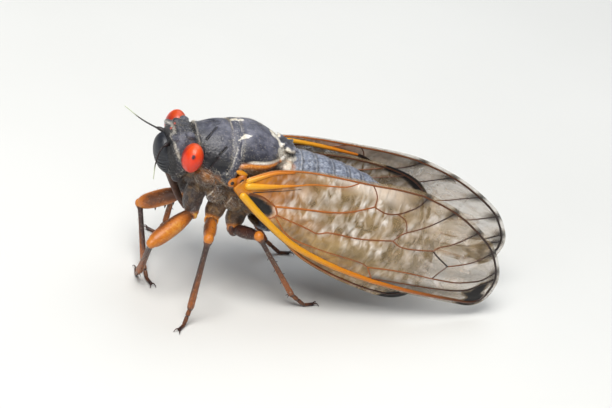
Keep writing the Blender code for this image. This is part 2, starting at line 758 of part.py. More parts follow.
def make_femur(name, leg, collection):
    """A thigh with a round head, thickest past its first third, and spines under it on a front leg."""
    joint = body_to_world(leg["trochanter"])
    knee = body_to_world(leg["knee"])
    line = (knee - joint).normalized()
    stop = knee - line * (KNEE_RADIUS + GAP)
    head, upper, lower, end = leg["thigh"]
    bm = bmesh.new()
    path = (joint, joint.lerp(stop, 0.32), joint.lerp(stop, 0.68), stop)
    tube(bm, path, (head, upper, lower, end), LEG_SIDES, round_start=True)
    femur = make_object(f"{name}_femur", bm, ORANGE_LEG, collection)
    if not name.startswith("front"):
        return
    toe = floor_point(*leg["foot"], SOLE_HEIGHT)
    below = toe - knee
    below = (below - line * below.dot(line)).normalized()
    spines = []
    for i, (share, length, radius) in enumerate(FEMUR_SPINES):
        thickness = float(np.interp(share, (0.0, 0.32, 0.68, 1.0), leg["thigh"]))
        point = (below + SPINE_LEAN * line).normalized()
        skin = joint.lerp(stop, share) + below * thickness
        bm = bmesh.new()
        tube(bm, (skin - point * SPINE_ROOT, skin + point * 0.4 * length, skin + point * length),
             (radius, 0.75 * radius, 0.25 * radius), SPINE_SIDES)
        spines.append(make_object(f"spine_{i}", bm, RED_BROWN, collection))
    join_pieces(f"{name}_femur", femur, spines, collection)


def make_shin(name, leg, collection):
    """The tibia, and the tarsus that turns onto the floor and ends in two claws."""
    shin = leg["shin"]
    knee = body_to_world(leg["knee"])
    toe = floor_point(*leg["foot"], SOLE_HEIGHT)
    flat = Vector((toe.x - knee.x, toe.y - knee.y, 0.0)).normalized()
    heel = toe - flat * SOLE_LENGTH
    rise = (knee - heel).normalized().lerp(-flat, ANKLE_LEAN).normalized()
    ankle = heel + rise * (leg["tarsus"] - SOLE_LENGTH)
    stop = ankle + (knee - ankle).normalized() * GAP
    path = (knee, knee.lerp(stop, 0.15), knee.lerp(stop, 0.60), stop)
    bm = bmesh.new()
    tube(bm, path, (KNEE_RADIUS, shin, 0.95 * shin, 1.08 * shin), SHIN_SIDES, round_start=True)
    make_object(f"{name}_tibia", bm, RED_BROWN, collection)

    bm = bmesh.new()
    tube(bm, (ankle, ankle.lerp(heel, 0.5), heel, toe), (0.29, 0.27, SOLE_RADIUS, SOLE_RADIUS),
         SHIN_SIDES)
    tarsus = make_object(f"{name}_tarsus", bm, RED_BROWN, collection)
    claws = []
    for side in (-1.0, 1.0):
        outward = Matrix.Rotation(side * CLAW_SPREAD, 3, "Z") @ flat
        path = [toe - outward * CLAW_ROOT]
        for reach, height in (CLAW_MIDDLE, CLAW_TIP):
            path.append(Vector((toe.x, toe.y, height)) + outward * reach)
        bm = bmesh.new()
        tube(bm, path, CLAW_RADII, SPINE_SIDES)
        claws.append(make_object(f"claw_{side:+.0f}", bm, RED_BROWN, collection))
    join_pieces(f"{name}_tarsus", tarsus, claws, collection)
    flatten_sole(tarsus.data)


def flatten_sole(mesh):
    """Cuts the foot off flat at the floor."""
    bm = bmesh.new()
    bm.from_mesh(mesh)
    cut_flat(bm, Vector((0.0, 0.0, 0.0)), Vector((0.0, 0.0, -1.0)))
    bm.to_mesh(mesh)
    bm.free()


def clear_scene():
    for obj in list(bpy.data.objects):
        bpy.data.objects.remove(obj)


def main():
    clear_scene()
    collection = bpy.data.collections.new("periodical_cicada")
    bpy.context.scene.collection.children.link(collection)
    body = bpy.data.objects.new("body_frame", None)
    collection.objects.link(body)
    body.location = body_to_world((0.0, 0.0, 0.0)) * MM
    body.rotation_euler = (0.0, PITCH, 0.0)
    bpy.context.view_layer.update()

    make_head(collection, body)
    make_clypeus(collection, body)
    make_rostrum(collection)
    trunk("pronotum", [trunk_ring(s, lowest=PRONOTUM_UNDER) for s in PRONOTUM], BLACK,
          collection, body)
    trunk("mesonotum", [trunk_ring(s, lowest=MESONOTUM_UNDER) for s in MESONOTUM], BLACK,
          collection, body)
    make_scutellum(collection, body)
    make_thorax(collection, body)
    make_abdomen(collection, body)
    trunk("tail_tip", [trunk_ring(s) for s in TAIL], CHESTNUT, collection, body)
    forewing = (FOREWING_OUTLINE, FOREWING_MARGINS, FOREWING_VEINS, FOREWING_RELIEF)
    hindwing = (HINDWING_OUTLINE, HINDWING_MARGINS, HINDWING_VEINS, HINDWING_RELIEF)
    for side, (hinge, angles) in WINGS.items():
        make_eye(f"eye_{side}", collection, body)
        make_antenna(f"antenna_{side}", collection)
        for name, plan, inset in (("forewing", forewing, 0.0), ("hindwing", hindwing, HINDWING_INSET)):
            name = f"{name}_{side}"
            surface = WingSurface(side_of(name), hinge, angles, inset)
            make_wing(name, plan, surface, collection, body)
    for name, leg in LEGS.items():
        make_coxa(name, leg, collection)
        make_femur(name, leg, collection)
        make_shin(name, leg, collection)


main()
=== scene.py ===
"""A periodical cicada at life size: its skin, eyes, wings, veins, legs and hairs, set on the solid frame.

Body points are (back, left, up) in millimetres from the midpoint between the eyes, in the body's own
pitched frame. Wing points are (along, across): from the hinge towards the tip, and from the middle of
the wing towards its hind margin. World points are the frame's own.
"""

import math

import bpy
import numpy as np
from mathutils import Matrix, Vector
from mathutils.geometry import delaunay_2d_cdt

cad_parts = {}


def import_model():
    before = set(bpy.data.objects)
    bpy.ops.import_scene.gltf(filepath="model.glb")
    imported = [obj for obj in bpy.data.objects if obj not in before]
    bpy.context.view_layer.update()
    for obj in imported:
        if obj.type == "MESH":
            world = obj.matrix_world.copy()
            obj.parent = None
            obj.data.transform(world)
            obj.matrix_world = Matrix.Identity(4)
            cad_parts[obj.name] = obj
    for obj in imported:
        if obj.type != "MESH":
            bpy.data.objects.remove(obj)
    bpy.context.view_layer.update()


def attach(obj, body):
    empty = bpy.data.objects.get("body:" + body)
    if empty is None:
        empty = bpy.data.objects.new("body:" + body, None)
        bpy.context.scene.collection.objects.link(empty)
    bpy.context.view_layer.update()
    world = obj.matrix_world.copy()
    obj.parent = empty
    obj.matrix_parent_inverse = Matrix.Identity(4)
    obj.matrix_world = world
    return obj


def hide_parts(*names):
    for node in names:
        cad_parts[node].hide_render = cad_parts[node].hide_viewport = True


MM = 0.001
GAP = 0.3
SEED = 17

# Angles of a tube's rounded ends, and of a bristle's three sides
CAP_ANGLES = (0.45, 0.9, 1.35)
NEEDLE_ANGLES = (0.0, 2.1, 4.2)

# Stance of the body
PITCH = math.radians(20.0)
EYE_HEIGHT = 17.6
CENTRE_X = -17.38
CENTRE_Y = 0.206

# Camera
CAMERA_PLACE = (-0.09587, -0.23253, 0.15201)
CAMERA_TURN = (59.726, -13.470, -14.205)
CAMERA_LENS = 154.82

# Studio: lamps are (name, place, size, power, colour)
SKY_COLOUR = (0.86, 0.90, 0.96)
SKY_STRENGTH = 0.16
LAMPS = (
    ("key", (-0.14, -0.16, 0.42), 0.26, 2.6, (1.0, 0.98, 0.95)),
    ("sky", (0.15, 0.25, 0.45), 0.45, 1.1, (0.88, 0.94, 1.0)),
    ("front", (-0.36, -0.30, 0.16), 0.22, 0.38, (1.0, 1.0, 1.0)),
)

# Colours of the horn pieces
HORN = (0.016, 0.018, 0.024)
BEAK_HORN = (0.07, 0.03, 0.018)
CLAW_HORN = (0.05, 0.018, 0.012)

# Trunk: each section is (back, half width, top, bottom, bow), where bow moves the sides backwards. The
# pronotum and the mesonotum are cut off below and have no bottom, and the thorax has no top
HEAD = (
    (-2.2, 1.45, 0.62, -0.9, 0.00),
    (-1.8, 2.10, 1.25, -1.9, 0.00),
    (-1.2, 2.48, 1.66, -2.9, 0.03),
    (-0.6, 2.60, 1.92, -3.6, 0.06),
    (0.25, 2.66, 2.12, -3.9, 0.06),
    (0.95, 2.50, 2.10, -3.7, 0.05),
)
HEAD_SQUARE = 0.80
PRONOTUM = (
    (-0.30, 2.40, 2.28, 0.12),
    (0.35, 2.85, 2.42, 0.10),
    (0.9, 3.40, 2.65, 0.07),
    (1.9, 4.08, 3.38, 0.08),
    (2.8, 4.30, 3.78, 0.065),
    (3.28, 4.34, 3.94, 0.055),
    (3.45, 4.50, 4.14, 0.055),
    (3.85, 4.55, 4.38, 0.05),
    (4.25, 4.50, 4.54, 0.05),
)
PRONOTUM_UNDER = -0.85
MESONOTUM = (
    (3.8, 3.85, 4.10, 0.05),
    (4.4, 4.02, 4.52, 0.045),
    (5.1, 4.12, 4.86, 0.04),
    (6.2, 4.10, 5.12, 0.03),
    (8.0, 3.90, 4.98, 0.00),
    (9.0, 3.45, 4.74, -0.02),
    (10.0, 2.80, 4.35, -0.04),
    (11.0, 2.10, 3.90, -0.04),
)
MESONOTUM_UNDER = 0.9
THORAX = (
    (0.55, 2.20, -2.8, 0.10),
    (1.3, 2.90, -3.5, 0.08),
    (2.0, 3.40, -4.2, 0.04),
    (3.0, 3.85, -4.9, 0.00),
    (4.6, 4.05, -5.1, 0.00),
    (8.0, 4.00, -5.0, 0.00),
    (9.4, 3.85, -4.9, 0.00),
    (10.9, 3.60, -4.7, 0.00),
)
THORAX_ROOF = 1.5
STERNUM = -3.8
ABDOMEN_RINGS = (9.5, 10.4, 11.4, 12.5, 14.3, 16.4, 18.4, 20.3, 22.1, 23.8, 25.3)
ABDOMEN_SHAPE = (
    (9.5, 3.35, 3.20, -4.3),
    (11.4, 3.65, 3.80, -4.5),
    (12.5, 3.85, 4.25, -4.6),
    (15.0, 3.96, 4.62, -4.4),
    (18.5, 3.98, 4.92, -3.7),
    (21.5, 3.50, 4.86, -2.7),
    (24.0, 2.70, 4.30, -1.5),
    (25.3, 2.05, 3.85, -0.9),
)
# Across one ring: (share of the way back, how far its surface stands out)
RING_PROFILE = ((0.03, -0.16), (0.3, -0.04), (0.6, 0.02), (0.85, 0.02), (1.0, -0.02))
TAIL = (
    (25.1, 1.80, 3.50, -0.65, 0.0),
    (26.5, 1.45, 3.10, -0.30, 0.0),
    (27.4, 0.95, 2.60, 0.15, 0.0),
    (27.9, 0.40, 2.05, 0.75, 0.0),
)
SCUTELLUM_CENTRE = (10.45, 0.0, 4.34)
SCUTELLUM_HALF = (1.20, 1.50, 0.40)
SCUTELLUM_ARM = (1.80, 0.26, 0.24)
SCUTELLUM_SPREAD = math.radians(52.0)
SCUTELLUM_ARM_RISE = 0.30
# Plates and lobes fused into the skin, each mirrored: (centre, half sizes)
LOBES = (
    ((-1.95, 1.45, 0.45), (0.60, 0.72, 0.34)),
    ((-1.50, 0.80, 1.30), (0.70, 0.50, 0.36)),
    ((-0.6, 1.65, 1.50), (0.60, 0.50, 0.36)),
    ((0.15, 2.50, -0.3), (0.85, 0.60, 1.30)),
    ((0.05, 1.85, -2.35), (0.90, 0.62, 1.25)),
    ((0.9, 1.3, -3.3), (0.75, 0.60, 0.95)),
    ((2.9, 3.15, -1.5), (1.45, 0.95, 1.05)),
    ((4.5, 4.00, -0.30), (0.95, 0.58, 0.85)),
    ((6.0, 3.62, -0.50), (1.00, 0.60, 0.80)),
    ((4.9, 3.20, -2.5), (1.10, 0.95, 1.45)),
    ((7.3, 3.25, -2.4), (1.30, 0.90, 1.55)),
    ((9.3, 2.90, -2.2), (1.00, 0.85, 1.50)),
    ((12.2, 1.85, -4.35), (1.70, 1.50, 0.55)),
)
SKIN_VOXEL = 0.085
SKIN_SIDES = 96
# Height of the mesonotum's lower rim at places along the body
RIM = ((4.4, 1.10), (5.1, 1.50), (6.05, 2.00), (7.4, 2.35), (9.0, 2.80), (10.3, 3.45), (11.4, 3.60))
# The groove behind the head runs along back = first + second * left squared
NECK = (-0.42, 0.16)
# The collar's hind edge, and how far it bends back by the square of left
COLLAR_REAR = 4.15
COLLAR_BOW = 0.05
# Zones of the skin: (where one is bare, where it is full) along the measure that bounds it
HEAD_EDGE = (-0.05, 0.12)
COLLAR_FRONT = (3.30, 3.42)
COLLAR_END = (0.05, -0.05)
BACK_FRONT = (-0.05, 0.10)
BACK_RIM = (-0.12, 0.10)
BACK_END = (11.5, 11.2)
RINGS_FRONT = (11.2, 11.7)
BELOW_EDGE = (-0.45, -0.85)
BELOW_FRONT = (0.6, 1.6)
FLANK_RIM = (0.0, -0.2)
FLANK_FRONT = (4.8, 5.4)
FACE_EDGE = (1.40, 1.30)
CHEEK_EDGE = (1.45, 1.70)
CHEEK_SIDE = (1.0, 1.7)
# The pale strip round the face, in shares of the face plate's half sizes
STRIP_PLACE = 1.50
STRIP_HALF = 0.12
FACE_GROOVE = 0.07
GROOVES_START = (0.30, 0.60)
# Lines worked into the skin, each mirrored: (half width, height or depth, value, its share, body points)
SKIN_LINES = (
    (0.09, -0.16, "dark", 0.9, ((1.85, 0.70, 3.26), (1.40, 1.35, 2.72), (1.05, 1.95, 1.95))),
    (0.11, -0.20, "dark", 1.0,
     ((3.08, 2.92, 2.45), (2.72, 3.28, 1.70), (2.42, 3.55, 0.75), (2.38, 3.70, -0.25))),
    (0.10, -0.07, "dark", 0.5, ((0.75, 0.95, 2.62), (1.20, 0.45, 3.00), (2.10, 0.28, 3.45))),
    (0.10, -0.06, "pale", 0.36,
     ((3.36, 0.0, 4.0), (3.45, 0.83, 3.90), (3.72, 1.88, 3.58), (4.18, 3.16, 2.76), (4.28, 4.07, 1.24),
      (4.08, 4.36, 0.24))),
    (0.08, -0.10, "pale", 0.30,
     ((4.18, 0.0, 4.5), (4.24, 1.15, 4.35), (4.60, 3.21, 2.97), (5.00, 4.02, 1.30))),
    (0.11, 0.10, "dark", 0.9, ((9.0, 1.72, 4.40), (10.1, 1.05, 4.40), (11.1, 0.35, 4.45))),
    (0.24, 0.05, "pale", 1.0, ((8.0, 0.0, 4.95), (8.35, 0.30, 4.92), (8.75, 0.55, 4.78), (9.2, 0.70, 4.60))),
    (0.12, 0.06, "pale", 0.95, ((9.3, 2.35, 3.62), (10.2, 1.75, 3.66), (11.1, 1.20, 3.72))),
    (0.09, -0.06, "dark", 0.6, ((-1.9, 0.18, 1.15), (-1.2, 0.14, 1.82), (-0.5, 0.12, 2.10))),
    (0.10, -0.10, "dark", 0.7, ((-2.0, 1.9, -0.2), (-1.5, 2.3, -1.3), (-0.9, 2.5, -2.4), (-0.3, 2.3, -3.4))),
    (0.10, -0.12, "dark", 0.7, ((2.2, 3.6, -0.75), (3.2, 3.95, -0.72), (4.2, 4.2, -0.60), (5.2, 4.0, -0.4))),
    (0.08, 0.05, "pale", 0.42, ((4.05, 4.0, -1.2), (4.1, 3.9, -2.6), (4.2, 3.3, -3.8))),
    (0.08, 0.05, "pale", 0.42, ((6.45, 4.0, -1.3), (6.4, 3.95, -2.5), (6.6, 3.5, -3.7))),
    (0.08, 0.05, "pale", 0.35, ((1.2, 2.6, -2.0), (1.7, 2.6, -3.4), (2.3, 2.4, -4.8))),
    (0.11, -0.14, "dark", 0.6, ((6.1, 3.9, -1.1), (6.0, 3.9, -2.4), (6.3, 3.6, -3.6))),
    (0.11, -0.14, "dark", 0.6, ((8.4, 3.9, -0.9), (8.3, 3.9, -2.4), (8.5, 3.4, -3.6))),
    (0.11, -0.14, "dark", 0.6, ((3.7, 3.9, -1.2), (3.75, 3.8, -2.6), (3.9, 3.3, -3.8))),
)
# Spots on the skin: (radius, softness, value, its share, body point), mirrored unless left is negative
SKIN_SPOTS = (
    (0.26, 0.18, "pale", 0.9, (3.60, -0.62, 4.17)),
    (0.34, 0.18, "pale", 1.0, (4.05, -0.66, 4.38)),
    (0.28, 0.18, "pale", 1.0, (4.48, -0.68, 4.54)),
    (0.60, 0.60, "dark", 0.60, (2.35, 3.40, 0.70)),
    (0.70, 0.60, "dark", 0.60, (2.95, 3.75, 0.60)),
    (0.30, 0.20, "pale", 1.0, (8.25, 0.40, 4.92)),
    (0.34, 0.30, "pale", 0.9, (8.9, 0.25, 4.78)),
    (0.34, 0.22, "pale", 1.0, (9.3, 0.95, 4.52)),
    (0.36, 0.22, "pale", 0.8, (9.3, 1.75, 4.05)),
    (0.42, 0.16, "dark", 0.8, (9.75, 0.10, 4.78)),
    (0.46, 0.16, "dark", 0.7, (10.2, 0.25, 4.86)),
    (0.34, 0.16, "dark", 0.7, (10.65, 0.45, 4.74)),
    (0.55, 0.25, "pale", 1.0, (9.7, 1.75, 3.80)),
    (0.50, 0.25, "pale", 0.9, (10.3, 1.90, 3.50)),
    (0.50, 0.25, "pale", 1.0, (10.2, 1.45, 4.10)),
    (0.60, 0.25, "pale", 1.0, (10.9, 1.15, 3.85)),
    (0.45, 0.25, "pale", 0.9, (11.3, 0.95, 3.70)),
    (0.55, 0.40, "orange", 0.30, (1.5, 3.0, -1.0)),
    (0.60, 0.40, "orange", 0.34, (2.6, 3.5, -1.1)),
    (0.60, 0.40, "orange", 0.30, (3.7, 3.8, -1.0)),
    (0.45, 0.30, "orange", 0.7, (9.9, 2.10, 3.25)),
    (0.50, 0.30, "orange", 0.8, (10.8, 1.72, 3.02)),
    (0.45, 0.30, "orange", 0.6, (11.35, 1.90, 2.90)),
    (0.55, 0.30, "orange", 0.9, (5.5, 3.95, -0.25)),
    (0.60, 0.30, "orange", 0.9, (6.2, 4.00, -0.35)),
    (0.21, 0.06, "dark", 1.0, (5.96, 4.15, -0.74)),
    (0.30, 0.08, "bloom", 1.0, (6.60, 4.10, -0.18)),
)
# The white mark on each side of the mesonotum, as (back, up) points
WHITE_ARROW = ((4.00, 3.48), (4.32, 3.95), (4.66, 4.24), (5.40, 4.47), (4.95, 4.12), (4.50, 3.84))

# Head parts: eyes by their centres, and PUPIL_WAY is the way in which the left one's dark spot faces
EYES = {"left": (0.10, 3.45, 0.0), "right": (-0.35, -3.42, -0.12)}
EYE_HALF = (1.12, 1.40, 1.62)
EYE_TILT = math.radians(14.0)
PUPIL_WAY = (-0.32, 0.83, 0.44)
OCELLUS_RADIUS = 0.16
OCELLI = ((-2.16, 0.0, 0.62), (-1.90, 0.44, 1.12), (-1.90, -0.44, 1.12))
CLYPEUS_CENTRE = (-1.0, 0.0, -2.15)
CLYPEUS_HALF = (2.40, 1.95, 1.42)
CLYPEUS_TILT = math.radians(49.0)
CLYPEUS_GROOVES = 17
CLYPEUS_GROOVE = 0.10
CLYPEUS_ROWS = 150
CLYPEUS_SIDES = 48
ROSTRUM = ((0.6, 0.0, -4.0), (1.9, 0.0, -5.25), (3.2, 0.0, -6.3), (4.4, 0.0, -7.2))
ROSTRUM_RADII = ((0.0, 0.35, 0.7, 1.0), (0.55, 0.42, 0.36, 0.16))
ANTENNAE = {
    "left": ((-2.1, 1.45, -0.45), (-2.45, 1.75, -0.6), (-2.95, 2.3, -1.1), (-2.8, 2.85, -2.6),
             (-2.1, 3.05, -4.2)),
    "right": ((-2.1, -1.40, -0.55), (-2.5, -1.65, -0.62), (-3.0, -1.9, -0.76), (-4.4, -2.85, -0.96),
              (-6.2, -4.0, -0.86)),
}
# Along a feeler: (shares of its length, values there)
ANTENNA_RADII = ((0.0, 0.06, 0.12, 0.16, 1.0), (0.24, 0.24, 0.20, 0.10, 0.045))
ANTENNA_TONES = ((0.0, 0.5, 0.8), (0.0, 0.0, 0.3))
ANTENNA_PALE = ((0.62, 0.80), (0.0, 1.0))

LEG_HAIRS = 110
LEG_HAIR_LENGTH = 0.26
LEG_HAIR_RADIUS = 0.011
HAIR_PATCH = 0.003
FAR = 99.0
# Hairs: (piece, slot, how many, length, radius, how far they lie back, zone), where a zone is named or
# is the (lowest, highest) of back, of the distance from the middle, and of up
HAIR_ZONES = (
    ("hairs_neck", "upper_body", 800, 0.15, 0.012, 0.3, "neck line"),
    ("hairs_collar", "upper_body", 1000, 0.18, 0.011, 0.6, "collar lines"),
    ("hairs_back", "upper_body", 700, 0.20, 0.010, 0.7, ((0.4, 9.0), (-FAR, FAR), (1.2, FAR))),
    ("hairs_cross", "upper_body", 700, 0.26, 0.013, 0.6, ((8.8, 11.8), (-FAR, 3.2), (2.8, 4.35))),
    ("hairs_flank", "under_body", 2400, 0.30, 0.012, 0.6, ((0.3, 11.2), (2.0, FAR), (-3.6, 0.2))),
    ("hairs_rings", "abdomen", 3000, 0.18, 0.010, 0.8, ((11.4, FAR), (-FAR, FAR), (-FAR, FAR))),
)

# Wings: each side's (hinge, (yaw, pitch, roll) in degrees)
WING_LENGTH = 34.8
WINGS = {
    "left": ((6.3, 4.85, 0.0), (-3.0, 1.2, 77.0)),
    "right": ((7.8, 5.1, -1.2), (-5.0, 7.2, 87.0)),
}
WING_BOW = 1.8
WING_CAMBER = 0.03
HINDWING_INSET = 0.95
MEMBRANE_THICKNESS = 0.05
MEMBRANE_STEP = 0.26
GRID_ROW = 0.87
MEMBRANE_SWELL = 0.16
MEMBRANE_SWELL_REACH = 1.3
RIM_STEP = 0.35
VEIN_STEP = 0.3
# Where along a forewing its zones change: (where one is bare, where it is full)
RIPPLES_TURN = (19.0, 27.0)
TIP_EDGE = (15.0, 29.0)
ROOT_EDGE = (3.4, 0.8)
ROOT_AMBER = (9.5, 2.5)
FOREWING_OUTLINE = (
    (-0.9, -0.6), (0.3, -1.4), (3.8, -2.9), (8.1, -4.3), (13.7, -4.9), (19.1, -4.9), (24.6, -4.5),
    (30.1, -3.9), (33.0, -3.5), (34.5, -2.4), (35.0, -0.6), (34.7, 1.0), (33.2, 2.9), (31.2, 4.3),
    (27.5, 5.7), (24.2, 6.4), (20.5, 6.7), (17.1, 6.3), (13.9, 5.7), (9.1, 4.9), (5.6, 4.1),
    (2.5, 2.9), (0.3, 1.2), (-0.5, 0.2),
)
HINDWING_OUTLINE = (
    (3.4, -0.8), (5.5, -3.0), (9.5, -5.0), (14.0, -5.9), (19.0, -6.2), (22.8, -6.0), (25.0, -4.8),
    (25.6, -2.6), (25.4, -0.2), (24.3, 2.0), (22.0, 3.9), (18.5, 4.6), (13.0, 4.2), (8.0, 3.0),
    (4.6, 1.4), (3.4, 0.3),
)
# Each vein is (radius at its start, radius at its end, tone at its start, tone at its end, points),
# where tone runs from 0 golden through 1 orange and 2 red-brown to 3 black
FOREWING_VEINS = (
    (0.42, 0.09, 0.1, 0.8, ((0.5, 0.2), (1.9, 0.72), (3.7, 1.50), (5.6, 2.35))),
    (0.09, 0.07, 0.9, 1.6, ((5.4, 2.27), (7.3, 3.1), (10.7, 4.1), (12.3, 5.1))),
    (0.07, 0.04, 3.0, 2.6, ((1.3, -0.25), (2.6, 0.42), (4.4, 1.28), (6.0, 2.1))),
    (0.30, 0.12, 0.2, 1.2, ((0.3, 0.7), (1.3, 1.55), (2.7, 2.6), (4.6, 3.4))),
    (0.12, 0.10, 2.3, 1.6, ((1.0, -0.5), (2.4, -0.3), (4.2, -0.7))),
    (0.10, 0.08, 1.5, 1.6, ((4.2, -0.7), (4.8, -1.5), (4.2, -2.2))),
    (0.08, 0.07, 1.3, 1.8, ((4.8, -1.8), (7.3, -3.2), (11.2, -3.3), (16.2, -3.0), (17.6, -3.2))),
    (0.12, 0.08, 1.2, 1.7,
     ((4.2, -0.7), (6.8, 0.1), (10.2, 1.0), (12.3, 1.8), (13.9, 2.7), (14.9, 3.3))),
    (0.08, 0.07, 1.8, 2.2, ((14.9, 3.3), (14.9, 4.1), (14.5, 4.8), (13.8, 5.4))),
    (0.08, 0.08, 1.8, 2.8,
     ((14.9, 3.3), (16.5, 3.1), (18.0, 3.5), (19.3, 4.3), (20.3, 5.1), (21.2, 6.3))),
    (0.07, 0.07, 2.0, 2.1, ((18.0, 3.5), (19.3, 3.1), (20.0, 2.0))),
    (0.07, 0.08, 2.0, 2.9, ((20.0, 2.0), (21.4, 2.8), (23.0, 3.9), (25.4, 5.8))),
    (0.08, 0.07, 2.0, 2.0, ((20.0, 2.0), (19.3, 1.4), (18.8, 0.6))),
    (0.09, 0.08, 1.5, 1.9,
     ((4.8, -1.5), (8.4, -1.6), (10.0, -1.7), (11.3, -1.1), (14.9, -0.5), (18.8, 0.6))),
    (0.08, 0.08, 1.8, 1.9, ((18.8, 0.6), (19.9, 0.3), (21.3, 0.4), (24.3, 1.1))),
    (0.07, 0.08, 1.9, 2.9, ((24.3, 1.1), (24.9, 1.7), (26.6, 2.6), (29.5, 4.7))),
    (0.08, 0.09, 2.6, 2.9, ((24.3, 1.1), (25.1, 0.7), (27.1, 0.0))),
    (0.07, 0.08, 1.9, 2.9, ((27.1, 0.0), (28.6, 0.6), (30.4, 1.5), (32.6, 3.2))),
    (0.07, 0.07, 2.4, 2.5, ((27.1, 0.0), (26.5, -0.9), (26.0, -1.9))),
    (0.08, 0.09, 1.9, 2.9, ((26.0, -1.9), (29.1, -1.5), (31.1, -0.9), (32.7, -0.2), (34.1, 1.2))),
    (0.09, 0.07, 1.5, 1.9, ((17.6, -3.2), (20.3, -2.6), (22.9, -2.2), (26.0, -1.9))),
    (0.09, 0.09, 1.5, 1.7, ((17.6, -3.2), (18.8, -4.2))),
    (0.08, 0.11, 2.0, 2.9,
     ((19.2, -4.2), (21.5, -3.8), (24.0, -3.4), (26.6, -3.0), (29.3, -2.5), (31.3, -1.9),
      (32.7, -0.9), (34.2, 0.2))),
)
HINDWING_VEINS = (
    (0.09, 0.07, 1.0, 1.8,
     ((3.8, -0.1), (7.9, 1.4), (11.7, 2.0), (14.0, 2.5), (15.6, 3.1), (17.2, 4.1))),
    (0.07, 0.06, 1.6, 2.2, ((11.7, 2.0), (14.5, 1.6), (17.0, 2.4), (20.0, 4.1))),
    (0.09, 0.06, 1.0, 2.4,
     ((3.9, -0.3), (8.0, -0.6), (12.0, -0.9), (15.5, -0.4), (18.9, 0.7), (23.6, 1.9))),
    (0.07, 0.06, 1.6, 2.6, ((12.0, -0.9), (16.0, -2.2), (20.5, -2.6), (25.1, -2.3))),
    (0.10, 0.07, 0.8, 2.6, ((4.0, -0.6), (8.5, -2.7), (13.0, -3.9), (18.0, -4.4), (23.2, -4.6))),
    (0.06, 0.06, 1.6, 1.6, ((14.5, 1.6), (15.5, -0.4))),
    (0.06, 0.06, 1.6, 1.6, ((16.0, -2.2), (15.5, -4.1))),
)
# Plates and knobs at each forewing's root: (body point, half sizes, tone)
WING_ROOT = (
    ((5.20, 4.25, -0.35), (0.75, 0.42, 0.62), 0.9),
    ((5.14, 4.64, -0.34), (0.21, 0.08, 0.22), 3.0),
    ((6.00, 4.35, 0.22), (0.60, 0.40, 0.78), 1.3),
    ((5.92, 4.73, 0.26), (0.18, 0.08, 0.40), 2.8),
    ((6.75, 4.60, 0.35), (0.42, 0.42, 0.85), 0.3),
    ((6.30, 4.45, -0.75), (0.62, 0.45, 0.50), 0.8),
    ((5.6, 4.02, 0.95), (0.85, 0.40, 0.30), 0.5),
    ((7.15, 4.80, -0.15), (0.95, 0.22, 0.85), 0.9),
)
# Rim veins: (first outline point, last one, then the inset, the radius and the tone at both ends)
FOREWING_RIMS = (
    (1, 5, (0.42, 0.36), (0.42, 0.27), (0.0, 0.8)),
    (5, 10, (0.36, 0.46), (0.27, 0.13), (0.8, 2.9)),
    (10, 16, (0.46, 0.46), (0.13, 0.11), (2.9, 2.2)),
    (16, 22, (0.46, 0.10), (0.11, 0.09), (2.2, 0.9)),
)
HINDWING_RIMS = (
    (1, 5, (0.16, 0.40), (0.16, 0.11), (0.6, 2.6)),
    (5, 14, (0.40, 0.30), (0.11, 0.08), (2.6, 2.2)),
)
APEX_MARKS = (
    ((31.0, -2.3), (31.9, -1.9), (32.4, -1.2), (32.8, -0.6), (33.7, -0.4), (33.6, -1.1), (33.3, -1.75),
     (34.0, -1.75), (33.9, -2.3), (33.2, -2.6), (32.1, -2.6)),
    ((30.7, -3.8), (31.8, -3.1), (32.1, -2.5), (33.2, -2.4), (34.0, -2.0), (34.1, -2.6), (33.4, -3.3),
     (32.5, -3.7)),
)
BASE_MARK = ((0.2, -0.9), (1.9, -0.45), (3.7, -0.8), (4.2, -1.4), (4.0, -2.0), (1.6, -1.6))
HINDWING_MARK = ((21.4, -6.3), (22.4, -5.35), (23.7, -4.75), (25.1, -4.4), (25.2, -4.9), (23.7, -6.0))
HINDWING_BAND = ((17.9, 4.4), (20.2, 4.2), (21.9, 3.4), (23.9, 1.9), (24.9, 0.2))
BAND_HALF = 0.60
# The film is smoky round veins that end darker than this tone
SMOKY_TONE = 2.7
# Thickened folds on the inner side of each forewing: (radii, tones, flat points)
FOLDS = (
    ((0.20, 0.26, 0.24, 0.15), (0.2, 0.2, 0.5, 1.2), ((2.0, 2.2), (4.5, 3.3), (8.2, 3.9), (13.9, 4.4))),
    ((0.10, 0.17, 0.17, 0.05), (3.0, 3.0, 3.0, 3.0), ((13.4, 4.3), (14.2, 4.4), (15.0, 4.3), (15.8, 4.2))),
)
FOLD_LIFT = -0.32

# Legs: joints in body points, feet as (back, left) where they meet the floor
COXA_TOP = STERNUM - GAP
COXA_DROP = 0.9
LEG_SIDES = 28
# Radii of the coxa and thigh from the body outwards, of the shin's end, and tones of the thigh and of the
# ring before it; shade is the way in which the dark streak of painted shade faces, on a left leg
LEG_PAIRS = {
    "front": dict(coxa=(1.15, 1.1, 0.78), thigh=(0.66, 0.90, 0.92, 0.78), shin=0.36, tone=0.82, ring=0.95,
                  shade=(0.3, 0.7, 0.7)),
    "middle": dict(coxa=(1.1, 1.05, 0.72), thigh=(0.55, 0.70, 0.66, 0.54), shin=0.35, tone=0.76, ring=0.95,
                   shade=(-0.8, 0.3, 0.4)),
    "hind": dict(coxa=(1.1, 1.05, 0.72), thigh=(0.52, 0.68, 0.64, 0.50), shin=0.35, tone=0.24, ring=0.30,
                 shade=(0.3, 0.7, 0.7)),
}
